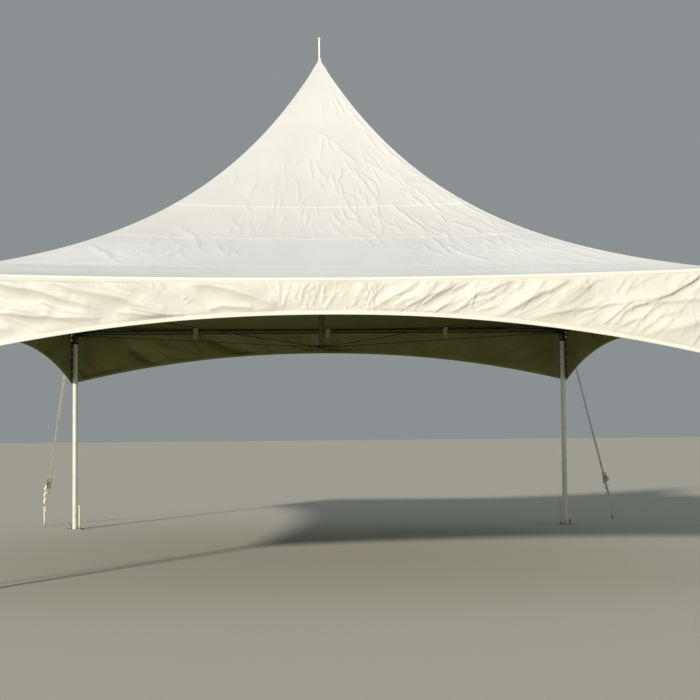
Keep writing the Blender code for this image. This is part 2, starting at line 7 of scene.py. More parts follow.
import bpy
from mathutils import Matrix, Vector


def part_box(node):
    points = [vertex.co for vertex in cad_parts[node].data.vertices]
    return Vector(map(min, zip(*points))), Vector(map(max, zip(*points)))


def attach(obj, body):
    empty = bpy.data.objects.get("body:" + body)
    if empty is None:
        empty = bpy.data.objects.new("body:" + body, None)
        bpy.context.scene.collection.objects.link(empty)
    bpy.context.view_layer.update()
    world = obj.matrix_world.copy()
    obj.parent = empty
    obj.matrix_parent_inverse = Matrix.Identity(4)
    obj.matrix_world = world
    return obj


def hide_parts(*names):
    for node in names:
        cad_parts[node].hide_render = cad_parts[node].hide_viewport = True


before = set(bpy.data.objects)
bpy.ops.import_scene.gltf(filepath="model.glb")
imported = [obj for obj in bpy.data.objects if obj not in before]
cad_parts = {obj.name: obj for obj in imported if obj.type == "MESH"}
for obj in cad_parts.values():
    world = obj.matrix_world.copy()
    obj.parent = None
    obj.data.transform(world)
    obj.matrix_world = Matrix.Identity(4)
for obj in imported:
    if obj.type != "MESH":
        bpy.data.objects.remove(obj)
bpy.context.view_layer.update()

# %% Modules
import math

import bmesh
import bpy
import numpy as np
from mathutils import Matrix, Vector

# %% [markdown]
# ## Sizes
# Cloth has to lie on the tubes that carry it, so its sizes are measured from the frame. Only
# what the tubes can't tell, such as the curve of the roof, is typed here as a real size.

# %% Measure the frame
SIDES = ("front", "right", "back", "left")
CORNERS = ("front_right", "back_right", "back_left", "front_left")

rail_low, rail_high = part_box("eave_rail_front")
RAIL_HEIGHT = (rail_low.z + rail_high.z) / 2
RAIL_RADIUS = (rail_high.z - rail_low.z) / 2
LEG_LINE = -(rail_low.y + rail_high.y) / 2
EAVE = -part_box("roof_panel_front")[0].y
print("rail height", round(RAIL_HEIGHT, 3), "leg line", round(LEG_LINE, 3), "eave", round(EAVE, 3))

# %% Sizes of the canopy
CORNER_RISE = 0.075  # roof edge at the corners, above the rail centre line
ROOF_RISE = 2.525  # corners to the point where the hips would meet
HOLLOW = 2.07  # how hollow the hips are
SEAT = 0.0043  # from the roof's outer face to the rail under it
CLOTH = 0.0035
CROWN_REACH = 0.031  # opening round the mast head
HEM_DROP = 0.272  # valance hem below the rail centre line, mid-side
VALANCE_ARCH = 0.36  # how much lower the hem is at the corners
ARCH_POWER = 2.1
WELDS = (1.345, 1.88, 2.61)  # reach of the roof's level welds
WELD_HALF = 0.010
HEM_BAND = 0.03
CORNER_HEIGHT = RAIL_HEIGHT + CORNER_RISE
HEM_HEIGHT = RAIL_HEIGHT - HEM_DROP

# %% [markdown]
# ## Camera and light
# The photograph was taken from a low stand, some 13 m in front, with a long lens and a low sun
# over the left shoulder. The camera was fitted to it first.
# The light is one broad warm source at the sun's place, and a pale grey world fills the shade.

# %% Colours
def linear(hex_colour):
    """Linear red, green, blue and alpha of an sRGB hex value such as "#f0eee4"."""
    shares = [int(hex_colour[i:i + 2], 16) / 255 for i in (1, 3, 5)]
    return tuple(s / 12.92 if s <= 0.04045 else ((s + 0.055) / 1.055) ** 2.4 for s in shares) + (1.0,)


print("a cloth white in linear light:", [round(v, 2) for v in linear("#f0eee4")])

# %% Camera
FRAME_PIXELS = 700
FOCAL_PIXELS = 1288
SENSOR = 36.0  # width in mm
CAMERA_PLACE = Vector((-0.079, -13.059, 1.372))
TURN_RIGHT = 0.0281
TILT_UP = 0.0511
ROLL = -0.0085

camera_data = bpy.data.cameras.new("camera")
camera_data.sensor_width = SENSOR
camera_data.lens = SENSOR * FOCAL_PIXELS / FRAME_PIXELS
camera = bpy.data.objects.new("camera", camera_data)
bpy.context.scene.collection.objects.link(camera)
camera.matrix_world = (Matrix.Translation(CAMERA_PLACE) @ Matrix.Rotation(-TURN_RIGHT, 4, "Z")
                       @ Matrix.Rotation(math.pi / 2 + TILT_UP, 4, "X") @ Matrix.Rotation(ROLL, 4, "Z"))
bpy.context.scene.camera = camera
print("lens", round(camera_data.lens, 1), "mm")

# %% Light
SUN_HEIGHT = math.radians(22)
SUN_LEFT = math.radians(32)  # left of straight behind the camera
SUN_STRENGTH = 3.35
SUN_WIDTH = math.radians(4)  # wider than the real sun, for softer shadow edges

sun_data = bpy.data.lights.new("low_key_light", "SUN")
sun_data.energy = SUN_STRENGTH
sun_data.angle = SUN_WIDTH
sun_data.color = linear("#fff5e6")[:3]
sun = bpy.data.objects.new("low_key_light", sun_data)
bpy.context.scene.collection.objects.link(sun)
to_sun = Vector((-math.sin(SUN_LEFT) * math.cos(SUN_HEIGHT), -math.cos(SUN_LEFT) * math.cos(SUN_HEIGHT),
                 math.sin(SUN_HEIGHT)))
sun.rotation_euler = to_sun.to_track_quat("Z", "Y").to_euler()

world = bpy.data.worlds.new("studio")
world.use_nodes = True
world.node_tree.nodes["Background"].inputs["Color"].default_value = linear("#8b9192")
world.node_tree.nodes["Background"].inputs["Strength"].default_value = 1.0
bpy.context.scene.world = world
bpy.context.scene.view_settings.view_transform = "Standard"
print("light from", [round(v, 2) for v in to_sun])

# %% [markdown]
# ## Materials
# Each finish starts from what the real one is. A material is a small tree of nodes. One function
# adds a node of any kind, named as Blender names it after "ShaderNode". It links the inputs that
# are sockets and sets the others, so a tree reads from top to bottom. A texture's scale is how
# many times its pattern comes in a metre.

# %% Node helper
def add(tree, kind, *first, out=0, numbered=(), **named):
    """An output of one more node. Inputs come in order, by number, or by a name with a capital."""
    made = tree.nodes.new("ShaderNode" + kind)
    inputs = dict(enumerate(first)) | dict(numbered)
    for name, value in named.items():
        if name[0].isupper():
            inputs[name.replace("_", " ")] = value
        else:
            setattr(made, name, value)
    for name, value in inputs.items():
        if isinstance(value, bpy.types.NodeSocket):
            tree.links.new(value, made.inputs[name])
        else:
            made.inputs[name].default_value = value
    return made.outputs[out]


# %% Material helpers
def shader_socket(tree, name):
    """Socket of a material's shader, its name written with underscores."""
    return tree.nodes["Principled BSDF"].inputs[name.replace("_", " ")]


def new_material(name, **values):
    """A material with steady values set, its tree, and each point's place in metres."""
    made = bpy.data.materials.new(name)
    made.use_nodes = True
    tree = made.node_tree
    for socket, value in values.items():
        shader_socket(tree, socket).default_value = value
    return made, tree, add(tree, "TexCoord", out="Object")


def linked(tree, **sources):
    """Link the sources to the shader's sockets of those names."""
    for socket, source in sources.items():
        tree.links.new(source, shader_socket(tree, socket))


def tinted(tree, colour, mask, tint, share=1.0):
    """A colour, typed or linked, turned a share of the way to a tint where a mask is 1."""
    if isinstance(colour, str):
        colour = linear(colour)
    amount = add(tree, "Math", mask, share, operation="MULTIPLY")
    return add(tree, "Mix", amount, out=2, numbered={6: colour, 7: linear(tint)}, data_type="RGBA")


# %% [markdown]
# ### Coated cloth
# A marquee's roof is polyester scrim with a PVC skin on both sides, calendered smooth. It gives
# the eye a warm white with a low sheen, a fine net of handling creases, and a slightly lighter
# line wherever two widths are welded. Yarns are 1 mm apart, too fine to show from the camera, so
# they are only a faint bump for a close look.

# %% Coated cloth
YARN = 0.001  # metres from yarn to yarn
SOILING_SCALE = 1.7  # clouds of soiling some 60 cm apart
PATCH_SCALE = 0.8  # patches of handling creases some 125 cm apart
CREASE_CELL = 0.20  # metres between the handling creases of a patch
CREASE_WIDTH = 0.012
FINER = (0.45, 0.7, 0.35)  # cell, width and height of a finer net, as shares of the coarse one's
CREASED_FROM = (0.7, 1.3)  # reach over which the nets come in below the steep top


def positions(tree, place):
    """X, Z, reach from the middle and distance along the nearer side, in world metres."""
    x, y, z = (add(tree, "SeparateXYZ", place, out=axis) for axis in "XYZ")
    far = [add(tree, "Math", axis, operation="ABSOLUTE") for axis in (x, y)]
    reach, across = (add(tree, "Math", *far, operation=which) for which in ("MAXIMUM", "MINIMUM"))
    return x, z, reach, across


def crease_net(tree, place, cell, width):
    """Thin ridges along the edges of warped cells, broken up so that no cell is whole."""
    bend = add(tree, "TexNoise", Vector=place, Scale=0.5 / cell, Detail=2.0, out="Color")
    shift = add(tree, "VectorMath", bend, (cell, cell, cell), operation="MULTIPLY")
    bent = add(tree, "VectorMath", place, shift, operation="ADD")
    cells = add(tree, "TexVoronoi", Vector=bent, Scale=1 / cell, out="Distance",
                feature="DISTANCE_TO_EDGE")
    edge = add(tree, "MapRange", Value=cells, From_Max=width / cell, To_Min=1.0, To_Max=0.0,
               interpolation_type="SMOOTHSTEP")
    breaks = add(tree, "TexNoise", Vector=place, Scale=1.3 / cell, Detail=1.0)
    kept = add(tree, "MapRange", Value=breaks, From_Min=0.46, From_Max=0.6)
    return add(tree, "Math", edge, kept, operation="MULTIPLY")


def coated_cloth(name, clean, soiled, roughness, crease_height):
    """PVC-coated cloth with a slow change of tone and patches of handling creases."""
    made, tree, place = new_material(name, IOR=1.5)
    x, z, reach, across = positions(tree, place)
    soiling = add(tree, "TexNoise", Vector=place, Scale=SOILING_SCALE, Detail=5.0, Roughness=0.6)
    spread = add(tree, "MapRange", Value=soiling, From_Min=0.35, From_Max=0.7)
    patches = add(tree, "TexNoise", Vector=place, Scale=PATCH_SCALE, Detail=2.0)
    patchy = add(tree, "MapRange", Value=patches, From_Min=0.42, From_Max=0.62)
    coarse = crease_net(tree, place, CREASE_CELL, CREASE_WIDTH)
    fine = crease_net(tree, place, CREASE_CELL * FINER[0], CREASE_WIDTH * FINER[1])
    both = add(tree, "Math", fine, FINER[2], coarse, operation="MULTIPLY_ADD")
    low = add(tree, "MapRange", Value=reach, From_Min=CREASED_FROM[0], From_Max=CREASED_FROM[1])
    wanted = add(tree, "Math", low, patchy, operation="MULTIPLY")
    folds = add(tree, "Math", both, wanted, operation="MULTIPLY")
    yarns = add(tree, "TexNoise", Vector=place, Scale=0.5 / YARN, Detail=1.0)
    weave = add(tree, "Bump", Height=yarns, Strength=0.2, Distance=0.0002)
    creased = add(tree, "Bump", Height=folds, Strength=1.0, Distance=crease_height, Normal=weave)
    sheen = add(tree, "MapRange", Value=soiling, To_Min=roughness - 0.06, To_Max=roughness + 0.1)
    linked(tree, Roughness=sheen, Normal=creased)
    return made, tree, tinted(tree, clean, spread, soiled), (x, z, reach, across)


# %% [markdown]
# The roof's widths are welded with overlaps 2 cm wide, which look a shade lighter. Cloth from
# another roll was used below the middle weld: it is a touch cooler. Low on the roof the cloth is
# painted lighter towards the eave, most of all beside the hips: painted light that offsets the
# shade its shape gives there. Towards the corners below the last weld it is painted darker, as
# painted shade, less on the right half, where the cloth's own shape shades it more. A faint
# darker line lies over the rail. The olive under the roof is painted shade on the cloth's inner
# face, so it takes the same recipe with other colours.

# %% Roof cloth
COOLER_BELOW = WELDS[1]
EAVE_PAINTED_LIGHT = (2.0, 3.0)  # reach where the painted light towards the eave begins and where it is full
BESIDE_HIPS = (0.6, 1.7)  # metres from a gore's middle line over which the hips' tones come in
HIP_PAINTED_LIGHT = (1.9, 2.3)  # reach where the painted light beside the hips begins and where it is full
CORNER_PAINTED_SHADE = (WELDS[2], 2.95)  # reach where the painted shade towards the corners begins and where it is full
SHADE_FADES_RIGHT = (-0.5, 1.5)  # metres along X over which the painted shade of the corners fades out to the right
RAIL_LINE = (LEG_LINE + 0.01, 0.018)  # reach and half width of a faint darker line over the rail
EAVE_LIGHT_SHOWS, HIPS_SHOW, WELD_SHOWS, RAIL_LINE_SHOWS = 0.75, 0.7, 0.45, 0.3  # share of a tint that is seen


def roof_cloth(name, clean, soiled, tints, roughness, crease_height):
    """Tints: welds, cooler roll, painted light towards the eave, painted light beside the hips, painted
    shade towards the corners, and a darker line over the rail.
    """
    made, tree, colour, places = coated_cloth(name, clean, soiled, roughness, crease_height)
    x, _, reach, across = places
    weld_tint, cooler_tint, eave_light_tint, hip_light_tint, corner_shade_tint, rail_line_tint = tints
    below = add(tree, "Math", reach, COOLER_BELOW, operation="GREATER_THAN")
    spans = ((reach, EAVE_PAINTED_LIGHT), (across, BESIDE_HIPS), (reach, HIP_PAINTED_LIGHT), (reach, CORNER_PAINTED_SHADE), (x, SHADE_FADES_RIGHT))
    eave_light, beside, hip_light, low, toward_right = (
        add(tree, "MapRange", Value=value, From_Min=start, From_Max=end)
        for value, (start, end) in spans)
    shade_kept = add(tree, "Math", 1.0, toward_right, operation="SUBTRACT")
    corner_shade = add(tree, "Math", low, shade_kept, operation="MULTIPLY")
    clear = add(tree, "Math", hip_light, corner_shade, operation="SUBTRACT")
    # painted light: the cloth lighter towards the eave, where its flatter slope is shaded
    colour = tinted(tree, tinted(tree, colour, below, cooler_tint), eave_light, eave_light_tint, EAVE_LIGHT_SHOWS)
    # painted light beside the hips, and painted shade towards the lower corners
    for amount, tint in ((clear, hip_light_tint), (corner_shade, corner_shade_tint)):
        mask = add(tree, "Math", amount, beside, operation="MULTIPLY")
        colour = tinted(tree, colour, mask, tint, HIPS_SHOW)
    for weld in WELDS:
        band = add(tree, "Math", reach, weld, WELD_HALF, operation="COMPARE")
        colour = tinted(tree, colour, band, weld_tint, WELD_SHOWS)
    # a faint darker line over the rail
    over_rail = add(tree, "Math", reach, RAIL_LINE[0], RAIL_LINE[1], operation="COMPARE")
    linked(tree, Base_Color=tinted(tree, colour, over_rail, rail_line_tint, RAIL_LINE_SHOWS))
    return made


# the third, fourth and fifth tints are painted light and painted shade
ROOF_CLOTH = roof_cloth("pvc_coated_roof_cloth", "#e9ebea", "#e2e4e3",
                        ("#ffffff", "#e3e6e9", "#f1f4f6", "#f9fcfe", "#e5e8ea", "#c4c6c6"), 0.42, 0.0024)
# The olive inner face is painted shade, tinted by green light from the ground.
ROOF_INNER_SHADE = roof_cloth("painted_shade_under_the_roof", "#686934", "#5e5f2d",
                    ("#797a42", "#666733", "#686934", "#696a35", "#636430", "#58592b"), 0.6, 0.0015)
print("roof:", ROOF_CLOTH.name, "over", ROOF_INNER_SHADE.name)

# %% [markdown]
# The valance hangs upright and stays cleaner. Its hem is turned up, so the band along it is
# double and lighter, and so are its ends at the corners; inside, the end band is a painted pool
# of light. The rolled edge over the rails is painted the brightest cloth of all, a painted
# highlight along the roll.

# %% Valance cloth
VALANCE_NET = 0.0012  # height of the handling creases
END_BAND_AND_LIGHT = (0.17, 0.11)  # metres from the corner over which a valance's end band fades in; on the inner face it is painted light
END_AND_LIGHT_SHOWS = 0.6  # share of the end band's tint that is seen


def valance_cloth(name, clean, soiled, hem_tint, end_and_light_tint, roughness):
    """Cloth with a lighter band that follows the arch of the hem, and one at each end, which on the inner
    face is painted light.
    """
    made, tree, colour, places = coated_cloth(name, clean, soiled, roughness, VALANCE_NET)
    _, z, _, across = places
    share = add(tree, "Math", across, EAVE, operation="DIVIDE")
    arch = add(tree, "Math", share, ARCH_POWER, operation="POWER")
    band_top = add(tree, "Math", arch, -VALANCE_ARCH, HEM_HEIGHT + HEM_BAND, operation="MULTIPLY_ADD")
    band = add(tree, "Math", z, band_top, operation="LESS_THAN")
    end = add(tree, "MapRange", Value=across, From_Min=EAVE - END_BAND_AND_LIGHT[0], From_Max=EAVE - END_BAND_AND_LIGHT[1])
    hemmed = tinted(tree, colour, band, hem_tint)
    linked(tree, Base_Color=tinted(tree, hemmed, end, end_and_light_tint, END_AND_LIGHT_SHOWS))
    return made


# The second finish, the inside of the valance, is olive painted shade.
VALANCE_CLOTH, VALANCE_INNER_SHADE, EDGE_HIGHLIGHT_CLOTH = (valance_cloth(*finish) for finish in (
    ("pvc_coated_valance_cloth", "#ebeae0", "#e1e0d4", "#f6f5ea", "#edece3", 0.45),
    # its end tint is a painted pool of light in the corners
    ("painted_shade_inside_the_valance", "#858648", "#7b7c41", "#8a8b4d", "#939a78", 0.6),
    # the rope edge's bright white is a painted highlight along the roll
    ("rope_edge_painted_highlight", "#f8f8f1", "#f3f3eb", "#f8f8f1", "#f8f8f1", 0.4)))
print("valance:", VALANCE_CLOTH.name, "over", VALANCE_INNER_SHADE.name, "with", EDGE_HIGHLIGHT_CLOTH.name)

# %% [markdown]
# ### Metals
# Tubes are mill-finish aluminium, drawn through a die, so faint lines run along them. The mast
# and rails are painted a dark olive, as painted shade and a painted reflection of the olive cloth
# above them, and the rails' lower sides darker still, as painted shade where they face the
# ground. The fittings are painted steel, the plates and ratchets are zinc plated with a soft
# spangle, the cables are galvanised wire painted dark olive as painted shade, and the stakes are
# forged steel under pale dry soil.

# %% Tubes of aluminium
LINE_SCALE = 500  # a die line every 2 mm
LONG_SCALE = 2  # along the tube, where a line runs on for some 50 cm
SCUFF_SCALE = 9.0  # scuffs some 11 cm apart
LOWER_SIDE_SHADE = (-0.1, -0.6)  # upward share of a face's normal where the painted shade of the lower side begins and is full


def drawn_tube(name, stretch, bright, dull, metal, roughness=(0.36, 0.56), under_shade=None):
    """Drawn tube: stretch is the noise scale along X, Y and Z, small along the tube."""
    made, tree, place = new_material(name, Metallic=metal)
    drawn = add(tree, "Mapping", Vector=place, Scale=stretch)
    lines = add(tree, "TexNoise", Vector=drawn, Scale=1.0, Detail=3.0)
    scuffs = add(tree, "TexNoise", Vector=place, Scale=SCUFF_SCALE, Detail=6.0, Roughness=0.7)
    worn = add(tree, "MapRange", Value=scuffs, From_Min=0.5, From_Max=0.72)
    colour = tinted(tree, bright, worn, dull)
    # painted shade: darker where the face turns to the ground
    if under_shade:
        normal = add(tree, "NewGeometry", out="Normal")
        upward = add(tree, "SeparateXYZ", normal, out="Z")
        below = add(tree, "MapRange", Value=upward, From_Min=LOWER_SIDE_SHADE[0], From_Max=LOWER_SIDE_SHADE[1])
        colour = tinted(tree, colour, below, under_shade)
    rough = add(tree, "MapRange", Value=scuffs, To_Min=roughness[0], To_Max=roughness[1])
    bump = add(tree, "Bump", Height=lines, Strength=0.3, Distance=0.0003)
    linked(tree, Base_Color=colour, Roughness=rough, Normal=bump)
    return made


UPRIGHT = (LINE_SCALE, LINE_SCALE, LONG_SCALE)
ALONG_X = (LONG_SCALE, LINE_SCALE, LINE_SCALE)
ALONG_Y = (LINE_SCALE, LONG_SCALE, LINE_SCALE)
LEG_TUBE = drawn_tube("satin_aluminium_leg", UPRIGHT, "#f1f1e6", "#d9d8cc", 0.3)
# The mast's olive is a painted reflection of the olive cloth above it.
MAST_TUBE = drawn_tube("aluminium_mast_painted_reflection", UPRIGHT, "#8b8b68", "#737353", 0.95, (0.2, 0.32))
# The rails' olive is painted shade, darker still on their lower sides.
RAIL_ALONG_X, RAIL_ALONG_Y = (
    drawn_tube(f"aluminium_rail_painted_shade_along_{axis}", stretch, "#74755a", "#5f6048", 0.8, under_shade="#25261a")
    for axis, stretch in (("x", ALONG_X), ("y", ALONG_Y)))
print("tubes:", LEG_TUBE.name, MAST_TUBE.name, RAIL_ALONG_X.name, RAIL_ALONG_Y.name)

# %% Painted steel
BRUSH_SCALE = 160.0  # brush marks some 6 mm apart
CHIP_SCALE = 45.0  # chips some 22 mm apart


def painted_steel():
    """Dark brushed enamel on cast and welded steel, worn to the metal in small chips."""
    made, tree, place = new_material("brushed_enamel_on_steel")
    grain = add(tree, "TexNoise", Vector=place, Scale=BRUSH_SCALE, Detail=3.0)
    chips = add(tree, "TexNoise", Vector=place, Scale=CHIP_SCALE, Detail=5.0, Roughness=0.75)
    bare = add(tree, "MapRange", Value=chips, From_Min=0.66, From_Max=0.7)
    rough = add(tree, "MapRange", Value=grain, To_Min=0.42, To_Max=0.62)
    bump = add(tree, "Bump", Height=grain, Strength=0.35, Distance=0.0006)
    chipped = tinted(tree, "#33342b", bare, "#8d8c82")
    linked(tree, Base_Color=chipped, Metallic=bare, Roughness=rough, Normal=bump)
    return made


PAINTED_STEEL = painted_steel()
print("fittings:", PAINTED_STEEL.name)

# %% Zinc plating
SPANGLE = 0.008  # metres across one of its crystals
DULL_SCALE = 30.0  # dull marks some 33 mm apart


def zinc_plate():
    """Zinc plating: a soft spangle, dulled unevenly by handling."""
    made, tree, place = new_material("zinc_plated_steel", Metallic=1.0)
    spangle = add(tree, "TexVoronoi", Vector=place, Scale=1 / SPANGLE, out="Distance")
    dull = add(tree, "TexNoise", Vector=place, Scale=DULL_SCALE, Detail=5.0)
    tone = add(tree, "Math", spangle, 0.5, 0.2, operation="MULTIPLY_ADD")
    rough = add(tree, "MapRange", Value=dull, To_Min=0.35, To_Max=0.65)
    linked(tree, Base_Color=tinted(tree, "#b4b2a8", tone, "#8f8d83"), Roughness=rough)
    return made


ZINC = zinc_plate()
print("plates and ratchets:", ZINC.name)

# %% Galvanised wire
STRAND_SCALE = 27.0  # bands 13 mm apart: true ones, some 3 mm apart, would be too fine to show


def galvanised_wire():
    """Wire rope: bands at a slant for its wound strands, darker between them, all in a dark olive that is
    painted shade.
    """
    made, tree, place = new_material("wire_rope_painted_shade", Metallic=1.0, Roughness=0.5)
    strands = add(tree, "TexWave", Vector=place, Scale=STRAND_SCALE, Distortion=0.5, out="Fac",
                  wave_type="BANDS", bands_direction="DIAGONAL")
    bump = add(tree, "Bump", Height=strands, Strength=0.6, Distance=0.001)
    # dark olive painted shade, darker between the strands
    linked(tree, Base_Color=tinted(tree, "#3a3b2c", strands, "#5f604e"), Normal=bump)
    return made


WIRE = galvanised_wire()
print("cables:", WIRE.name)

# %% Forged stakes
HAMMER_SCALE = 60.0  # marks of scale and soil some 17 mm apart
EARTHY = (0.07, 0.8)  # metres up to which the foot looks earthy, and how much at the ground


def forged_steel():
    """Stake steel: hammer scale rubbed off, pale dry soil over it, darker and earthy at the foot."""
    made, tree, place = new_material("forged_steel_with_dry_soil", Metallic=0.1)
    scale = add(tree, "TexNoise", Vector=place, Scale=HAMMER_SCALE, Detail=7.0, Roughness=0.7)
    soil = add(tree, "MapRange", Value=scale, From_Min=0.35, From_Max=0.65)
    height = add(tree, "SeparateXYZ", place, out="Z")
    foot = add(tree, "MapRange", Value=height, From_Max=EARTHY[0], To_Min=EARTHY[1], To_Max=0.0)
    rough = add(tree, "MapRange", Value=scale, To_Min=0.5, To_Max=0.8)
    bump = add(tree, "Bump", Height=scale, Strength=0.5, Distance=0.0015)
    soiled = tinted(tree, "#d9d3c1", soil, "#f1eee3")
    linked(tree, Base_Color=tinted(tree, soiled, foot, "#5a4c38"), Roughness=rough, Normal=bump)
    return made


STAKE_STEEL = forged_steel()
print("stakes:", STAKE_STEEL.name)

# %% [markdown]
# ### Webbing and cord
# Straps are woven polyester: thick ribs across and no shine. Real ribs are 2 mm apart, and they
# are drawn twice as coarse to show in a close view. The ties inside are the same webbing, painted
# olive as painted shade. The corner laces are braided cord.

# %% Webbing
RIB_SCALE = 1 / 0.002 / (2 * math.pi)  # gives bands 4 mm apart
TONE_SCALE = 9.0  # changes of tone some 11 cm apart


def webbing(name, light, dark):
    """Woven webbing: level ribs, a slow change of tone, and a matte face."""
    made, tree, place = new_material(name, Roughness=0.85)
    ribs = add(tree, "TexWave", Vector=place, Scale=RIB_SCALE, Distortion=0.4, out="Fac",
               wave_type="BANDS", bands_direction="Z")
    tone = add(tree, "TexNoise", Vector=place, Scale=TONE_SCALE, Detail=4.0)
    spread = add(tree, "MapRange", Value=tone, From_Min=0.35, From_Max=0.65)
    bump = add(tree, "Bump", Height=ribs, Strength=0.5, Distance=0.0005)
    linked(tree, Base_Color=tinted(tree, light, spread, dark), Normal=bump)
    return made


GUY_WEBBING = webbing("woven_polyester_webbing", "#fbf8ee", "#e9e4d6")
# its olive is painted shade
TIE_WEBBING = webbing("tie_webbing_painted_shade", "#b0af82", "#9d9c72")
LACE_CORD = webbing("braided_lace_cord", "#f2f1e2", "#dddbc8")
print("webbing and cord:", GUY_WEBBING.name, TIE_WEBBING.name, LACE_CORD.name)

# %% Finishes of the frame's own pieces
finishes = {
    "leg": LEG_TUBE, "mast": MAST_TUBE, "mast_head": LEG_TUBE,
    "eave_rail_front": RAIL_ALONG_X, "eave_rail_back": RAIL_ALONG_X,
    "eave_rail_right": RAIL_ALONG_Y, "eave_rail_left": RAIL_ALONG_Y,
    "corner_fitting": PAINTED_STEEL, "mast_foot": PAINTED_STEEL, "mast_cable": WIRE,
    "base_plate": ZINC, "ratchet": ZINC, "leg_stake": STAKE_STEEL, "guy_stake": STAKE_STEEL,
    "guy_strap": GUY_WEBBING, "peak_cap": ROOF_CLOTH, "roof_panel": ROOF_CLOTH, "valance": VALANCE_CLOTH}
for node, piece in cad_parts.items():
    best = max((name for name in finishes if node.startswith(name)), key=len)
    piece.data.materials.clear()
    piece.data.materials.append(finishes[best])
print("finished", len(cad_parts), "frame pieces")

# %% [markdown]
# ## The shape of the roof
# Four gores of cloth are stretched between the hips. Cloth pulled two ways can't bulge, so it
# curves like a saddle: hollow from eave to peak, and sagging a little from hip to hip. The same
# formula as the frame's gives the smooth shape, and creases are added to it along its normal.

# %% Roof surface
def hip_height(reach):
    """Height of the hips above the ground at a reach from the middle."""
    corner = math.exp(-HOLLOW)
    return CORNER_HEIGHT + ROOF_RISE * (np.exp(-HOLLOW * reach / EAVE) - corner) / (1 - corner)


def hip_slope(reach):
    """Rise of the hips for each metre of reach, which is negative: they fall to the eave."""
    return -ROOF_RISE * HOLLOW / EAVE * np.exp(-HOLLOW * reach / EAVE) / (1 - math.exp(-HOLLOW))


def steepness(reach):
    """Metres along the slope for each metre of reach."""
    return np.hypot(1, hip_slope(reach))


SAG = float(hip_height(LEG_LINE) - (SEAT + RAIL_RADIUS) * steepness(LEG_LINE) - RAIL_HEIGHT)


def sag_at(reach, share):
    """How far the cloth is below the hips, at a share of the way from a gore's middle to a hip."""
    return SAG * np.sin(np.pi / 2 * reach / LEG_LINE) * (1 - share ** 2)


def turned_to(side, points):
    """Points of the front side, turned about the middle to side number side."""
    angle = side * math.pi / 2
    x, y, z = points[..., 0], points[..., 1], points[..., 2]
    c, s = round(math.cos(angle)), round(math.sin(angle))
    return np.stack([x * c - y * s, x * s + y * c, z], axis=-1)


print("sag at the eave", round(SAG, 4))

# %% [markdown]
# ## Creases
# A crease is a low ridge along a route on the cloth. Those of the front were read off the
# photograph and are typed as a few points each: metres across and out from the peak on the roof,
# metres along and a share of the drop on the valance. Seeded ones of the same kind lie between
# them and on the other sides, because no two sides of a real canopy crease alike.

# %% Crease helpers
ROUNDING = 0.35  # share of its width over which a fold's top is rounded
FADED_OUT = 6  # widths from its route where a fold is too low to count


def smooth(value):
    """Smooth step from 0 to 1."""
    share = np.clip(value, 0, 1)
    return share * share * (3 - 2 * share)


def crinkled(rng, route, step, sway):
    """The same route, bent every step metres by a drawn sway to either side."""
    made = [np.array(route[0], float)]
    for start, end in zip(route, route[1:]):
        start, end = np.array(start, float), np.array(end, float)
        count = max(1, round(np.linalg.norm(end - start) / step))
        made += [start + (end - start) * k / count + rng.normal(0, sway, 2) for k in range(1, count)] + [end]
    return made


def fold(a, q, route, width, height, steep):
    """Height of a fold along a route of (a, q) points, steeper on its right, tapered at both ends."""
    route = [np.array(point, float) for point in route]
    low, high = np.min(route, axis=0) - FADED_OUT * width, np.max(route, axis=0) + FADED_OUT * width
    near = (a > low[0]) & (a < high[0]) & (q > low[1]) & (q < high[1])
    lengths = [np.linalg.norm(end - start) for start, end in zip(route, route[1:])]
    best = np.zeros(np.count_nonzero(near))
    done = 0.0
    for start, end, length in zip(route, route[1:], lengths):
        way = (end - start) / length
        to_a, to_q = a[near] - start[0], q[near] - start[1]
        along = np.clip(to_a * way[0] + to_q * way[1], 0, length)
        right = to_a * way[1] - to_q * way[0]
        off = np.hypot(to_a - along * way[0], to_q - along * way[1])
        scaled = off / np.where(right > 0, steep * width, width)
        share = (done + along) / sum(lengths)
        to_end = np.minimum(share, 1 - share) * sum(lengths)
        taper = smooth(to_end / (2 * width)) * (0.5 + 2 * share * (1 - share))  # lower near its ends
        best = np.maximum(best, np.exp(ROUNDING - np.hypot(scaled, ROUNDING)) * taper)
        done += length
    whole = np.zeros_like(a)
    whole[near] = best * height
    return whole


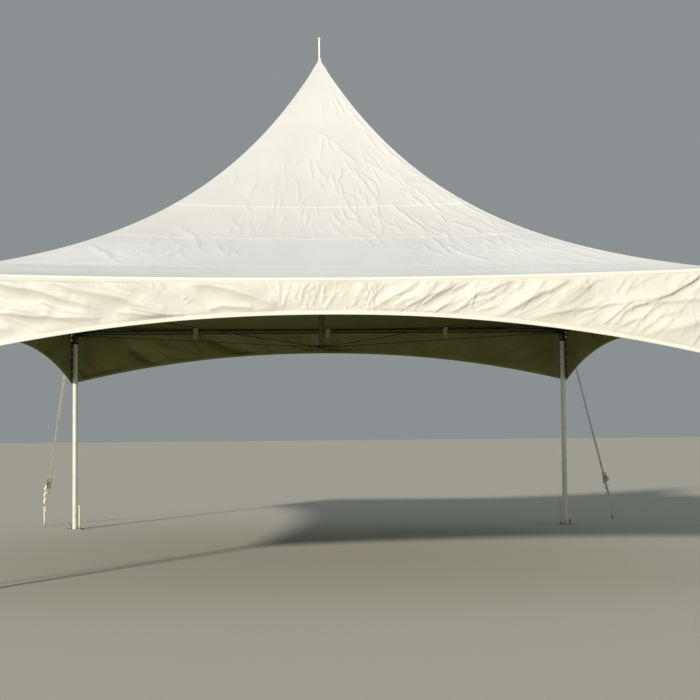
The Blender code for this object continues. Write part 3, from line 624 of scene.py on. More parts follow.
# %% Creases of the front gore
FRONT_ROOF_CREASES = (  # route in metres across and out from the peak, width and height in mm
    (((0.63, 1.31), (0.89, 1.71), (0.95, 1.89)), 22, 5.8),
    (((0.96, 1.87), (1.09, 2.31)), 22, 5.1),
    (((1.08, 2.05), (1.19, 2.29), (1.41, 2.56)), 24, 5.4),
    (((1.13, 1.62), (1.34, 1.74), (1.41, 1.84)), 22, 4.1),
    (((0.51, 1.02), (0.53, 1.77)), 20, 4.1),
    (((0.39, 0.69), (0.46, 0.86)), 16, 2.7),
    (((0.32, 0.87), (0.54, 1.34)), 20, 4.1),
    (((0.79, 1.15), (0.96, 1.36)), 20, 4.1),
    (((0.94, 1.17), (1.11, 1.52)), 20, 4.1),
    (((0.56, 0.62), (0.86, 0.92)), 18, 4.4),
    (((1.18, 1.24), (1.45, 1.53)), 20, 4.4),
    (((0.21, 1.22), (0.39, 1.76)), 22, 3.7),
    (((1.63, 1.99), (1.62, 2.39)), 20, 3.7),
    (((-1.28, 1.66), (-1.10, 1.88), (-1.04, 2.08)), 22, 4.4),
    (((-1.02, 1.77), (-0.97, 1.85)), 16, 3.7),
    (((-0.91, 2.00), (-0.81, 2.30)), 20, 4.4),
    (((-1.21, 2.18), (-1.17, 2.35)), 18, 3.7),
    (((-1.42, 2.58), (-1.21, 2.12), (-1.14, 2.00)), 26, 6.5),
    (((-1.90, 2.60), (-1.45, 2.20)), 30, 4.8),
    (((-2.20, 2.72), (-1.70, 2.42)), 30, 4.1),
    (((-2.62, 2.78), (-2.00, 2.80), (-1.30, 2.76), (-0.75, 2.79)), 90, 5.0),
    (((-1.90, 2.93), (-1.55, 2.95), (-1.15, 2.93)), 45, 3.6),
    (((-2.45, 2.62), (-1.95, 2.30)), 36, 3.6),
    (((-2.60, 2.70), (-2.30, 2.52), (-2.10, 2.38)), 30, 3.0),
    (((0.90, 2.80), (1.60, 2.78), (2.30, 2.81)), 70, 2.0),
    (((1.90, 2.60), (2.30, 2.78)), 34, 3.0),
    (((0.12, 0.23), (0.25, 0.38)), 12, 3.6),
    (((0.16, 0.22), (0.31, 0.37), (0.42, 0.50)), 11, 3.8),
    (((0.21, 0.25), (0.37, 0.40)), 10, 3.4),
    (((0.10, 0.26), (0.18, 0.36)), 12, 2.8),
    (((0.26, 0.33), (0.45, 0.52)), 11, 3.6),
    (((-1.98, 2.10), (-1.88, 2.22), (-1.75, 2.42), (-1.67, 2.58)), 24, 6.0),
)
print(len(FRONT_ROOF_CREASES), "creases read off the photograph")

# %% Seeded creases
ROOF_PATCHES = (  # middle and spread in metres, how many creases, their lean from the slope in degrees
    ((0.50, 1.45), (0.28, 0.30), 46, 22),
    ((1.15, 1.95), (0.26, 0.28), 40, 30),
    ((1.55, 2.25), (0.30, 0.25), 24, 40),
    ((-0.30, 1.40), (0.22, 0.30), 34, -8),
    ((-1.05, 2.10), (0.28, 0.24), 22, 24),
    ((0.20, 0.80), (0.12, 0.25), 16, 12),
    ((0.75, 0.95), (0.22, 0.22), 18, 44),
    ((1.70, 1.95), (0.40, 0.35), 26, 47),
    ((-1.90, 2.45), (0.35, 0.15), 10, -50),
)
LEAN_SPREAD = 16  # degrees that a crease may lean more or less
CREASE_BEND = 0.012  # metres that its middle may lie off the straight line
HIP_CREASES = 26  # on each gore


def patch_creases(rng, mirror):
    """Seeded creases that gather in patches, as handling and folding leave them, sizes in mm."""
    made = []
    for middle, spread, count, lean in ROOF_PATCHES:
        for _ in range(count):
            place = np.array(middle) + rng.normal(0, 1, 2) * spread
            place[0] *= mirror
            angle = math.radians(mirror * (lean + rng.normal(0, LEAN_SPREAD)))
            half = np.array([math.sin(angle), math.cos(angle)]) * rng.uniform(0.03, 0.15)
            route = (place - half, place + rng.normal(0, CREASE_BEND, 2), place + half)
            width, height = rng.uniform(10, 20), rng.uniform(1.2, 4.2)
            made.append((route, width, height))
    return made


def hip_creases(rng, mirror):
    """Long seeded creases that run beside a hip, where the cloth is pulled hardest, sizes in mm."""
    made = []
    for _ in range(HIP_CREASES):
        reach = rng.uniform(0.45, 2.3)
        off = rng.uniform(0.05, 0.30)
        length = rng.uniform(0.15, 0.6)
        drift = rng.uniform(0.0, 0.06)
        route = ((mirror * (reach - off), reach), (mirror * (reach + length - off - drift), reach + length))
        width, height = rng.uniform(10, 18), rng.uniform(1.2, 3.2)
        made.append((route, width, height))
    return made


# %% Relief of a gore
ROOF_SEED = 41
ROOF_STEEP = 0.45  # a crease's lower side, as a share of its width
ROOF_KINKS = (0.06, 0.007)  # metres between a crease's kinks, and how far they sway
ROOF_WAVES = 9
RAIL_CALM = (0.05, 0.12)  # metres short of the rail where creases end, and over which they fade
CROWN_CALM = (0.14, 0.16)  # metres from the middle where they begin, and over which they grow
HIP_CALM = (0.05, 0.2)  # metres from a hip over which creases grow, and over which waves do
CREASE_LIFT = 1.8  # drawn as high as it takes for the low light to show them as in the photograph


def roof_relief(side, across, reach):
    """Creases, and slower waves, that stand off one gore's smooth shape, in metres."""
    rng = np.random.default_rng(ROOF_SEED + side)
    mirror = -1 if side % 2 else 1
    creases = patch_creases(rng, mirror) + hip_creases(rng, mirror)
    if side == 0:
        creases += list(FRONT_ROOF_CREASES)
    relief = np.zeros_like(across)
    for route, width, height in creases:
        bent = crinkled(rng, route, *ROOF_KINKS)
        relief = np.maximum(relief, fold(across, reach, bent, width / 1000, height / 1000, ROOF_STEEP))
    waves = np.zeros_like(across)
    for _ in range(ROOF_WAVES):
        pitch = rng.uniform(0.5, 1.3)
        lean = rng.normal(0, 0.35)
        phase = 2 * np.pi * ((across + lean * reach) / pitch + rng.random())
        height = rng.uniform(0.0004, 0.0013)
        waves += height * np.sin(phase)
    from_hip = reach - np.abs(across)
    below_crown = smooth((reach - CROWN_CALM[0]) / CROWN_CALM[1])
    free = smooth((LEG_LINE - RAIL_CALM[0] - reach) / RAIL_CALM[1]) * below_crown
    by_hip, by_hip_slow = (smooth(from_hip / distance) for distance in HIP_CALM)
    return CREASE_LIFT * relief * by_hip * free, waves * by_hip_slow * free


print("seeded creases on a gore:", sum(patch[2] for patch in ROOF_PATCHES) + HIP_CREASES)

# %% Soft folds of the front valance
SOFT_FOLDS = (  # route as metres along X and share of the drop to the hem, width and height in mm
    (((-2.80, 0.02), (-2.49, 0.10), (-2.17, 0.25), (-1.90, 0.45), (-1.70, 0.63)), 62, 27),
    (((-2.30, 0.02), (-1.93, 0.18), (-1.63, 0.36), (-1.33, 0.66), (-1.12, 0.80)), 66, 30),
    (((-1.74, 0.03), (-1.45, 0.19), (-1.18, 0.50)), 60, 16),
    (((-1.08, 0.06), (-0.68, 0.31), (-0.47, 0.58), (-0.30, 0.80)), 56, 24),
    (((-3.02, 0.34), (-2.49, 0.53), (-2.17, 0.66), (-1.70, 0.80)), 34, 18),
    (((-3.05, 0.20), (-2.75, 0.33), (-2.36, 0.50), (-2.05, 0.62)), 34, 13),
    (((-3.05, 0.62), (-2.70, 0.71), (-2.36, 0.80)), 40, 12),
    (((-2.20, 0.40), (-1.98, 0.60), (-1.75, 0.72)), 26, 7),
    (((-0.92, 0.80), (-0.78, 0.71), (-0.52, 0.80)), 26, 10),
    (((-1.62, 0.70), (-1.35, 0.82), (-1.05, 0.86)), 28, 9),
    (((1.71, 0.73), (1.91, 0.41), (2.12, 0.10)), 60, 15),
    (((2.54, 0.88), (2.71, 0.75), (2.89, 0.63), (3.04, 0.56)), 62, 20),
    (((0.50, 0.82), (0.59, 0.66), (0.79, 0.34), (0.93, 0.07)), 40, 10),
)
print(len(SOFT_FOLDS), "soft folds read off the photograph")

# %% Crisp folds of the front valance
CRISP_FOLDS = (  # as above
    (((-1.50, 0.64), (-1.33, 0.76), (-1.15, 0.88)), 14, 6),
    (((-1.98, 0.06), (-1.78, 0.14)), 14, 5),
    (((-2.38, 0.14), (-2.26, 0.24)), 12, 4),
    (((-2.42, 0.11), (-2.24, 0.22)), 10, 3),
    (((-1.75, 0.07), (-1.68, 0.35)), 10, 3),
    (((-1.29, 0.30), (-1.31, 0.20), (-1.33, 0.10)), 14, 7),
    (((-1.21, 0.29), (-1.24, 0.19), (-1.28, 0.09)), 14, 6),
    (((-1.10, 0.57), (-1.04, 0.43)), 12, 5),
    (((-1.08, 0.63), (-1.00, 0.50)), 12, 4),
    (((-0.30, 0.80), (-0.34, 0.62), (-0.34, 0.24), (-0.35, 0.07)), 15, 5),
    (((-0.31, 0.81), (-0.28, 0.37)), 13, 4.5),
    (((-0.29, 0.34), (-0.24, 0.13)), 14, 3.5),
    (((-0.20, 0.73), (-0.22, 0.49), (-0.17, 0.13)), 14, 4.5),
    (((-0.21, 0.81), (-0.17, 0.63), (-0.16, 0.31), (-0.10, 0.09)), 16, 5.5),
    (((-0.14, 0.41), (-0.06, 0.23)), 14, 3.5),
    (((-0.10, 0.82), (-0.07, 0.60), (-0.04, 0.36), (-0.03, 0.08)), 16, 5.5),
    (((0.00, 0.66), (0.00, 0.15)), 14, 3.5),
    (((0.14, 0.58), (0.16, 0.34)), 14, 3.5),
    (((0.00, 0.58), (0.07, 0.42)), 12, 3),
    (((0.20, 0.81), (0.26, 0.66)), 12, 3.5),
    (((0.31, 0.81), (0.34, 0.46), (0.33, 0.15)), 15, 5),
    (((0.33, 0.82), (0.36, 0.60), (0.38, 0.41), (0.35, 0.15)), 16, 6),
    (((0.39, 0.60), (0.41, 0.36)), 12, 3.5),
    (((0.36, 0.60), (0.43, 0.36), (0.50, 0.08)), 18, 5),
    (((0.40, 0.83), (0.46, 0.67), (0.54, 0.48), (0.66, 0.38)), 38, 14),
    (((0.52, 0.47), (0.63, 0.32), (0.76, 0.08)), 28, 9),
    (((0.58, 0.83), (0.76, 0.56), (0.87, 0.40), (0.99, 0.26), (1.06, 0.04)), 58, 19),
    (((0.98, 0.34), (1.05, 0.28), (1.14, 0.12)), 28, 9),
    (((1.15, 0.33), (1.19, 0.18), (1.22, 0.08)), 14, 7),
    (((1.01, 0.79), (1.09, 0.67), (1.17, 0.43), (1.27, 0.31)), 38, 14),
    (((1.14, 0.80), (1.16, 0.55), (1.18, 0.38)), 16, 8),
    (((1.16, 0.50), (1.27, 0.36), (1.37, 0.20), (1.51, 0.07)), 50, 16),
    (((1.13, 0.78), (1.28, 0.54), (1.47, 0.17)), 32, 8),
    (((1.17, 0.83), (1.36, 0.64)), 24, 8),
    (((1.38, 0.83), (1.51, 0.61), (1.68, 0.35), (1.79, 0.25), (1.89, 0.12), (1.95, 0.02)), 64, 25),
    (((1.81, 0.44), (1.93, 0.26), (2.02, 0.15), (2.10, 0.04)), 36, 12),
    (((1.60, 0.86), (1.71, 0.80), (1.78, 0.73), (2.02, 0.60), (2.35, 0.46), (2.56, 0.37), (2.68, 0.31),
      (2.81, 0.18), (2.98, 0.03)), 34, 13),
    (((2.15, 0.88), (2.28, 0.62), (2.35, 0.49), (2.41, 0.42)), 28, 12),
    (((2.21, 0.88), (2.28, 0.76), (2.33, 0.62), (2.40, 0.51), (2.56, 0.40), (2.75, 0.26),
      (2.99, 0.03)), 36, 15),
    (((2.38, 0.62), (2.41, 0.51), (2.53, 0.44)), 16, 6),
    (((2.48, 0.50), (2.66, 0.42), (2.85, 0.37), (3.02, 0.34)), 38, 14),
    (((2.28, 0.86), (2.42, 0.70), (2.53, 0.61)), 34, 11),
    (((2.64, 0.14), (2.72, 0.04)), 16, 6),
    (((2.69, 0.26), (2.77, 0.16), (2.87, 0.04)), 26, 10),
    (((2.26, 0.37), (2.36, 0.08)), 18, 6),
    (((2.34, 0.36), (2.36, 0.28), (2.42, 0.12)), 18, 6),
    (((2.56, 0.64), (2.79, 0.52)), 28, 8),
    (((2.49, 0.92), (2.49, 0.05)), 10, 2),
    (((2.87, 0.92), (2.87, 0.12)), 10, 2),
)
print(len(CRISP_FOLDS), "crisp folds read off the photograph")

# %% Routes on a valance
def edge_height(along):
    """Height of the roof's edge at a distance along a side from its middle."""
    return hip_height(EAVE) - sag_at(EAVE, along / EAVE)


def hem_height(share):
    """Height of the hem at a share of the way from a side's middle to its corner."""
    return HEM_HEIGHT - VALANCE_ARCH * np.abs(share) ** ARCH_POWER


def on_valance(along, share):
    """Metres along and up for a share of the drop from the roof's edge to the hem."""
    edge = edge_height(along)
    return np.array([along, edge - share * (edge - hem_height(along / EAVE))])


def typed_folds(folds):
    """Typed folds with their routes in metres along and up."""
    return [([on_valance(*point) for point in route], width, depth) for route, width, depth in folds]


print("hem", round(hem_height(0), 3), "m up mid-side and", round(hem_height(1), 3), "at the corners")

# %% Seeded folds
FOLD_LEANS = (  # metres along a valance, and the way its folds run, in degrees from level
    (-3.0, -10), (-1.9, -19), (-1.0, -26), (-0.45, -52), (-0.3, -82), (0.1, -100), (0.35, -112), (0.6, -138),
    (1.2, -145), (2.0, -148), (2.6, -140), (3.0, -135))
DROP_SHARES = (0.04, 0.88)  # share of the drop where the middle of a seeded fold may lie
FOLD_BEND = 0.06  # how far its middle may lie off the straight line, as a share of its half length
TURNED_FROM = -0.3  # metres along: from there on, folds are steep on their other side
CALM = (-0.45, 0.4)  # metres along up to which seeded folds are lower, and their share of the height
SHORT_FOLDS = (  # how many, spread in degrees, lengths in metres, widths and heights in mm
    (100, 14, (0.05, 0.24), (12, 30), (1.5, 6.0)),
    (170, 38, (0.02, 0.08), (8, 14), (0.5, 2.2)))
FRONT_FOLDS = (  # the same, and the stretch in metres along that they lie in
    (44, 8, (0.15, 0.45), (12, 28), (2.5, 6.5), (0.6, 3.0)),
    (60, 24, (0.04, 0.14), (9, 15), (1.5, 3.5), (-0.42, 0.6)),
    (50, 5, (0.2, 0.6), (10, 20), (3, 8), (-3.0, -0.9)))
PLAIN_SOFT_FOLDS = (34, 8, (0.3, 0.8), (45, 75), (6, 17))
PLAIN_CRISP_FOLDS = (30, 12, (0.2, 0.5), (24, 48), (4, 11))


def seeded_folds(rng, count, spread, lengths, widths, heights, stretch=(-3.0, 3.0)):
    """Folds at drawn places that run as the leans say there, give or take a spread in degrees."""
    made = []
    places, leans = zip(*FOLD_LEANS)
    for _ in range(count):
        place = on_valance(rng.uniform(*stretch), rng.uniform(*DROP_SHARES))
        angle = math.radians(np.interp(place[0], places, leans) + rng.normal(0, spread))
        half = np.array([math.cos(angle), math.sin(angle)]) * rng.uniform(*lengths) / 2
        bend = rng.normal(0, FOLD_BEND, 2) * np.hypot(*half)
        route = (place - half, place + bend, place + half)
        route = route if place[0] < TURNED_FROM else route[::-1]
        calm = CALM[1] if place[0] < CALM[0] else 1.0
        made.append((route, rng.uniform(*widths), calm * rng.uniform(*heights)))
    return made


print("seeded folds on the front:", sum(group[0] for group in SHORT_FOLDS + FRONT_FOLDS))

# %% Relief of a valance
VALANCE_SEED = 87
TOP_DROP = 0.0225  # where the valance is welded on, below the roof's edge
SOFT_STEEP, CRISP_STEEP = 0.75, 0.36  # the lower side's width as a share of the upper side's
SOFT_LIFT, CRISP_LIFT = 1.6, 1.15  # as high as it takes for the light to show them as in the photograph
FOLD_KINKS = (0.07, 0.08)  # metres between a fold's kinks, and their sway as a share of its width
VALANCE_WAVES = 6
HEM_GIVE = 0.15  # share of a fold's height that the stiff hem keeps
EDGE_CALM = (0.03, 0.07)  # metres below the weld, and from an end, over which folds grow


def valance_relief(side, along, height):
    """How far one valance stands out of its plane, in metres."""
    rng = np.random.default_rng(VALANCE_SEED + side)
    crisp = [drawn for group in SHORT_FOLDS for drawn in seeded_folds(rng, *group)]
    if side == 0:
        soft = typed_folds(SOFT_FOLDS)
        crisp += typed_folds(CRISP_FOLDS)
        crisp += [drawn for group in FRONT_FOLDS for drawn in seeded_folds(rng, *group)]
    else:
        soft = seeded_folds(rng, *PLAIN_SOFT_FOLDS)
        crisp += seeded_folds(rng, *PLAIN_CRISP_FOLDS)
    drop = edge_height(along) - TOP_DROP - height
    relief = np.zeros_like(along)
    for folds, steep, lift in ((soft, SOFT_STEEP, SOFT_LIFT), (crisp, CRISP_STEEP, CRISP_LIFT)):
        for route, width, depth in folds:
            fades = smooth(drop / (0.5 * width / 1000 + 0.008))  # wide folds start lower
            bent = crinkled(rng, route, FOLD_KINKS[0], FOLD_KINKS[1] * width / 1000)
            relief += fold(along, height, bent, width / 1000, lift * depth / 1000, steep) * fades
    for _ in range(VALANCE_WAVES):
        pitch = rng.uniform(0.35, 1.1)
        lean = rng.normal(0, 0.8)
        size = rng.uniform(0.0005, 0.002)
        relief += size * np.sin(2 * np.pi * ((along + lean * height) / pitch + rng.random()))
    above_hem = height - hem_height(along / EAVE)
    stiff_hem = HEM_GIVE + (1 - HEM_GIVE) * smooth((above_hem - HEM_BAND * 0.8) / 0.03)
    from_end = EAVE - np.abs(along)
    return relief * smooth(drop / EDGE_CALM[0]) * stiff_hem * smooth(from_end / EDGE_CALM[1])


middle_relief = valance_relief(1, np.zeros(50), np.linspace(HEM_HEIGHT, RAIL_HEIGHT, 50))
print("folds stand out up to", round(1000 * float(np.max(middle_relief))), "mm midway on a plain side")

# %% [markdown]
# ## The canopy
# The real canopy is one cloth welded from four gores. It could be made as one mesh, but each
# gore rides and is measured as a piece of its own, so each is a sheet that meets its neighbours
# along the hips with a hair's breadth between. A sheet has two faces and a wall round them, so
# that it is closed. Rows are set on both edges of every weld, where a second width doubles the
# cloth, and the edge rolls over the rail and down over the valance. The inner face has no
# creases, so it has a third of the rows and columns.

# %% Roof rows
FINE_GORE = (331, 0.0205)  # columns, and metres from row to row, of the gore that faces the camera
PLAIN_GORE = (181, 0.030)
SKIP = 3  # inner face takes every third row and column
WELD_EDGE = 0.004  # over which the cloth rises to a weld
WELD_RISE = 0.0005
HIP_BAND = 0.02  # half width of the weld along a hip
WIDEST_BAND = 0.25  # of half the gore, where the band would fill it near the crown
EDGE_RADIUS = 0.009
SAMPLES = 4000  # along the slope, to space the rows evenly
TOO_NEAR = 0.3  # share of a step within which an even row makes way for one that is set
JUST_OVER = 1.01  # so that rows and columns on a weld's edge count as on it
EDGE_ANGLES = (90, 66, 42, 18)  # degrees the edge has rolled over
FLAP_DROPS = (0.0130, 0.0065)  # flap below the end of the roll
HALF_GAP = 0.0002  # from a gore to the hip's own plane


def roof_reaches(step):
    """Reach of each row from the eave to the crown, evenly spaced on the slope but for the welds."""
    fine = np.linspace(EAVE - EDGE_RADIUS, CROWN_REACH, SAMPLES)
    slope = np.concatenate([[0], np.cumsum(-np.diff(fine) * steepness(fine[1:]))])
    even = np.interp(np.arange(0, slope[-1], step), slope, fine)
    spread = (WELD_HALF + WELD_EDGE, WELD_HALF, -WELD_HALF, -WELD_HALF - WELD_EDGE)
    edges = [weld + off for weld in WELDS for off in spread]
    near = step * TOO_NEAR
    clear = [r for r in even if min(abs(r - e) for e in edges) > near and r > CROWN_REACH + near]
    rows = sorted(clear + edges + [CROWN_REACH], reverse=True)
    spare = (len(rows) + len(EDGE_ANGLES) + len(FLAP_DROPS) - 1) % SKIP
    return np.array(rows[:-1 - spare] + rows[-1:])


def column_shares(reach, count):
    """Places from -1 to 1 across a gore, with a column on each hip and on the edge of its band."""
    edge = min(HIP_BAND / reach, WIDEST_BAND)
    return np.concatenate([[-1.0], np.linspace(edge - 1, 1 - edge, count - 2), [1.0]])


print("rows of the front gore:", len(roof_reaches(FINE_GORE[1])))

# %% Roof points
def edge_rows(count):
    """Outer and inner rows of points where the cloth rolls over the eave into a short flap."""
    outer = []
    inner = []
    share = column_shares(EAVE, count)
    for drop, degrees in [(drop, 90) for drop in FLAP_DROPS] + [(0, degrees) for degrees in EDGE_ANGLES]:
        s, c = math.sin(math.radians(degrees)), math.cos(math.radians(degrees))
        for rows, depth in ((outer, 0), (inner, CLOTH)):
            reach = EAVE - EDGE_RADIUS + (EDGE_RADIUS - depth) * s
            height = hip_height(EAVE) - sag_at(EAVE, share) - EDGE_RADIUS - drop + (EDGE_RADIUS - depth) * c
            row = (share * (reach - HALF_GAP), np.full_like(share, -reach), height)
            rows.append(np.stack(row, axis=-1))
    return outer, inner


def gore_points(side, count, step):
    """Grids of points for one gore's creased outer face and smooth inner face."""
    outer, inner = edge_rows(count)
    reaches = roof_reaches(step)
    share = np.stack([column_shares(reach, count) for reach in reaches])
    reach = np.repeat(reaches[:, None], count, axis=1)
    across = share * reach
    height = hip_height(reach) - sag_at(reach, share)
    rise, waves = roof_relief(side, across, reach)
    on_weld = np.min([np.abs(reach - weld) for weld in WELDS], axis=0) < WELD_HALF * JUST_OVER
    on_hip = reach - np.abs(across) < HIP_BAND * JUST_OVER
    rise += WELD_RISE * np.maximum(on_weld, on_hip) * smooth((reach - 0.1) / 0.1)
    lean = hip_slope(reach) / steepness(reach)
    for depth, rows in ((-rise - waves, outer), (CLOTH - waves, inner)):
        moved = reach + depth * lean
        points = np.stack([share * (moved - HALF_GAP), -moved, height - depth / steepness(reach)], axis=-1)
        rows.extend(points)
    return turned_to(side, np.array(outer)), turned_to(side, np.array(inner))[::SKIP, ::SKIP]


# %% Sheet with two faces
SHARP = math.radians(40)  # edges bent by more than this look crisp


def grid_faces(rows, columns, first, flip):
    """Faces of a grid of points whose numbers start at first."""
    faces = []
    for i in range(rows - 1):
        for j in range(columns - 1):
            a = first + i * columns + j
            face = (a, a + 1, a + columns + 1, a + columns)
            faces.append(face[::-1] if flip else face)
    return faces


def round_the_edge(rows, columns):
    """Numbers of a grid's edge points, in order."""
    top = list(range(columns))
    right = [i * columns + columns - 1 for i in range(1, rows)]
    bottom = [(rows - 1) * columns + j for j in range(columns - 2, -1, -1)]
    left = [i * columns for i in range(rows - 2, 0, -1)]
    return top + right + bottom + left


def closed_sheet(name, outer, inner):
    """A closed sheet: fine outer grid, inner grid with one point in SKIP, and a wall all round."""
    rows, columns = outer.shape[:2]
    inner_rows, inner_columns = inner.shape[:2]
    offset = rows * columns
    front = grid_faces(rows, columns, 0, False)
    back = grid_faces(inner_rows, inner_columns, offset, True)
    fine = round_the_edge(rows, columns)
    coarse = [offset + number for number in round_the_edge(inner_rows, inner_columns)]
    walls = []
    for k, corner in enumerate(coarse):
        stretch = [fine[(k * SKIP + step) % len(fine)] for step in range(SKIP, -1, -1)]
        walls.append((*stretch, corner, coarse[(k + 1) % len(coarse)]))
    mesh = bpy.data.meshes.new(name)
    points = np.concatenate([outer.reshape(-1, 3), inner.reshape(-1, 3)])
    mesh.from_pydata(points.tolist(), [], front + back + walls)
    edge = (len(FLAP_DROPS) + len(EDGE_ANGLES) - 1) * (columns - 1)
    # faces take the outer cloth, the inner face's painted shade and the rope edge's painted highlight
    top, inner_shade, rolled = range(3)
    finish = [rolled] * edge + [top] * (len(front) - edge) + [inner_shade] * len(back) + [rolled] * len(walls)
    mesh.polygons.foreach_set("material_index", finish)
    mesh.shade_smooth()
    mesh.set_sharp_from_angle(angle=SHARP)
    return mesh


def add_piece(mesh, materials, turn=0):
    """Link a mesh, turned by quarters about the middle, as a piece that rides on the frame's body."""
    if turn:
        mesh.transform(Matrix.Rotation(turn * math.pi / 2, 4, "Z"))
    made = bpy.data.objects.new(mesh.name, mesh)
    bpy.context.scene.collection.objects.link(made)
    for material in materials:
        made.data.materials.append(material)
    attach(made, "root")
    return made


for side, name in enumerate(SIDES):
    mesh = closed_sheet(f"roof_cloth_{name}", *gore_points(side, *(FINE_GORE if side == 0 else PLAIN_GORE)))
    gore = add_piece(mesh, (ROOF_CLOTH, ROOF_INNER_SHADE, EDGE_HIGHLIGHT_CLOTH))
    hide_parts(f"roof_panel_{name}")

# %% [markdown]
# ## The valances
# Each valance is a strip of the same cloth, welded under the roof's edge and hemmed along an
# arch. It hangs free, so it creases more than the roof: long folds fall from the edge towards
# the middle of the hem. Its corners are slit for the lugs that carry the guy straps. It is made
# as one face of points, and a modifier gives it its thickness and an inner face of painted shade.

# %% Valance mesh
FINE_VALANCE = (750, 60)  # columns and rows of the valance that faces the camera
PLAIN_VALANCE = (500, 32)
VALANCE_THICKNESS = 0.003
SLIT_RUN = 0.0396  # slit along each valance from the corner
SLIT_HALF = 0.04  # half its height
SLIT_MIDDLE = RAIL_HEIGHT - 0.055  # level with the strap lugs
HEM_RISE = 0.0012
HEM_STEP = 0.004  # over which the cloth rises to the turned hem


def valance_mesh(side):
    """One face of a valance, creased, with a slit at each end."""
    column_count, row_count = FINE_VALANCE if side == 0 else PLAIN_VALANCE
    slit = SLIT_RUN / EAVE
    share = np.concatenate([[-1], np.linspace(slit - 1, 1 - slit, column_count - 2), [1]])
    top = hip_height(EAVE) - sag_at(EAVE, share) - TOP_DROP
    hem = hem_height(share)
    corner_drop = top[0] - hem[0]
    ends = [(top[0] - SLIT_MIDDLE - half) / corner_drop for half in (SLIT_HALF, -SLIT_HALF)]
    even = np.linspace(0, 1, row_count)
    near = TOO_NEAR / row_count
    levels = sorted([level for level in even if min(abs(level - end) for end in ends) > near] + ends)
    grid_share = np.repeat(share[None, :], len(levels) + 2, axis=0)
    height = np.stack([top + (hem - top) * level for level in levels])
    band = hem + HEM_BAND
    height = np.sort(np.concatenate([height, band[None, :], band[None, :] + HEM_STEP]), axis=0)[::-1]
    along = grid_share * EAVE
    out = valance_relief(side, along, height)
    out += HEM_RISE * (height <= band + 1e-6) * smooth((EAVE - np.abs(along)) / 0.03)
    faces = []
    rows, columns = height.shape
    for i in range(rows - 1):
        for j in range(columns - 1):
            at_corner = j == 0 or j == columns - 2
            middle = (height[i, j] + height[i + 1, j]) / 2
            if at_corner and abs(middle - SLIT_MIDDLE) < SLIT_HALF:
                continue
            a = i * columns + j
            faces.append((a, a + columns, a + columns + 1, a + 1))
    points = turned_to(side, np.stack([along * (1 + out / EAVE), -(EAVE + out), height], axis=-1))
    mesh = bpy.data.meshes.new(f"valance_cloth_{SIDES[side]}")
    mesh.from_pydata(points.reshape(-1, 3).tolist(), [], faces)
    mesh.shade_smooth()
    return mesh


# %% Make the valances
for side, name in enumerate(SIDES):
    cloth = add_piece(valance_mesh(side), (VALANCE_CLOTH, VALANCE_INNER_SHADE))
    thick = cloth.modifiers.new("thickness", "SOLIDIFY")
    thick.thickness = VALANCE_THICKNESS
    thick.offset = -1
    thick.material_offset = 1
    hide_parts(f"valance_{name}")

# %% [markdown]
# ## Ties and laces
# Short straps hold the canopy down to the rails, three to a side. Each goes round the rail and
# its tail hangs a hand's width below. At the corners, a cord is laced between the valances
# through eyelets, so that they meet without a gap.

# %% Skin helper
def skinned(loops, closed=False):
    """Loops of points skinned one after another, with flat ends or joined round into a ring."""
    made = bmesh.new()
    rings = [[made.verts.new(point) for point in loop] for loop in loops]
    for low, high in zip(rings, rings[1:] + rings[:1] if closed else rings[1:]):
        for i in range(len(low)):
            j = (i + 1) % len(low)
            made.faces.new((low[i], low[j], high[j], high[i]))
    if not closed:
        made.faces.new(rings[0])
        made.faces.new(rings[-1])
    bmesh.ops.recalc_face_normals(made, faces=made.faces)
    return made


def way_at(points, i):
    """Unit way along a route at point number i."""
    return (points[min(i + 1, len(points) - 1)] - points[max(i - 1, 0)]).normalized()


# %% Ribbon helper
def ribbon(points, side_way, width, thickness):
    """A strap as a closed strip along a route, its width along side_way."""
    side_way = Vector(side_way)
    loops = []
    for i, point in enumerate(points):
        face = way_at(points, i).cross(side_way).normalized()
        loops.append([point + side_way * (a * width / 2) + face * (b * thickness / 2)
                      for a, b in ((-1, -1), (1, -1), (1, 1), (-1, 1))])
    return skinned(loops)


def to_mesh(parts, name):
    """Several bmeshes as one mesh."""
    mesh = bpy.data.meshes.new(name)
    joined = bmesh.new()
    for part in parts:
        part.to_mesh(mesh)
        joined.from_mesh(mesh)
        part.free()
    joined.to_mesh(mesh)
    joined.free()
    mesh.shade_smooth()
    mesh.set_sharp_from_angle(angle=SHARP)
    return mesh


# %% Rail ties
TIE_PLACES = (-1.57, -0.10, 1.55)
TIE_WIDTH = 0.055
TAIL_WIDTH = 0.049
TAIL_ASIDE = 0.002  # the tail never lies quite in line
TIE_THICKNESS = 0.002
TIE_TAIL = (  # up from the rail centre line and out, in metres
    (0.02, 0.0), (0.0, 0.0), (-0.03, 0.002), (-0.055, 0.006), (-0.085, 0.009))
TIE_CLEAR = 0.0015  # from the rail to the strap round it
TAIL_CLEAR = 0.0005  # from that strap to its tail
UNDER_CLOTH = 0.001  # from the cloth's inner face to the middle of the strap


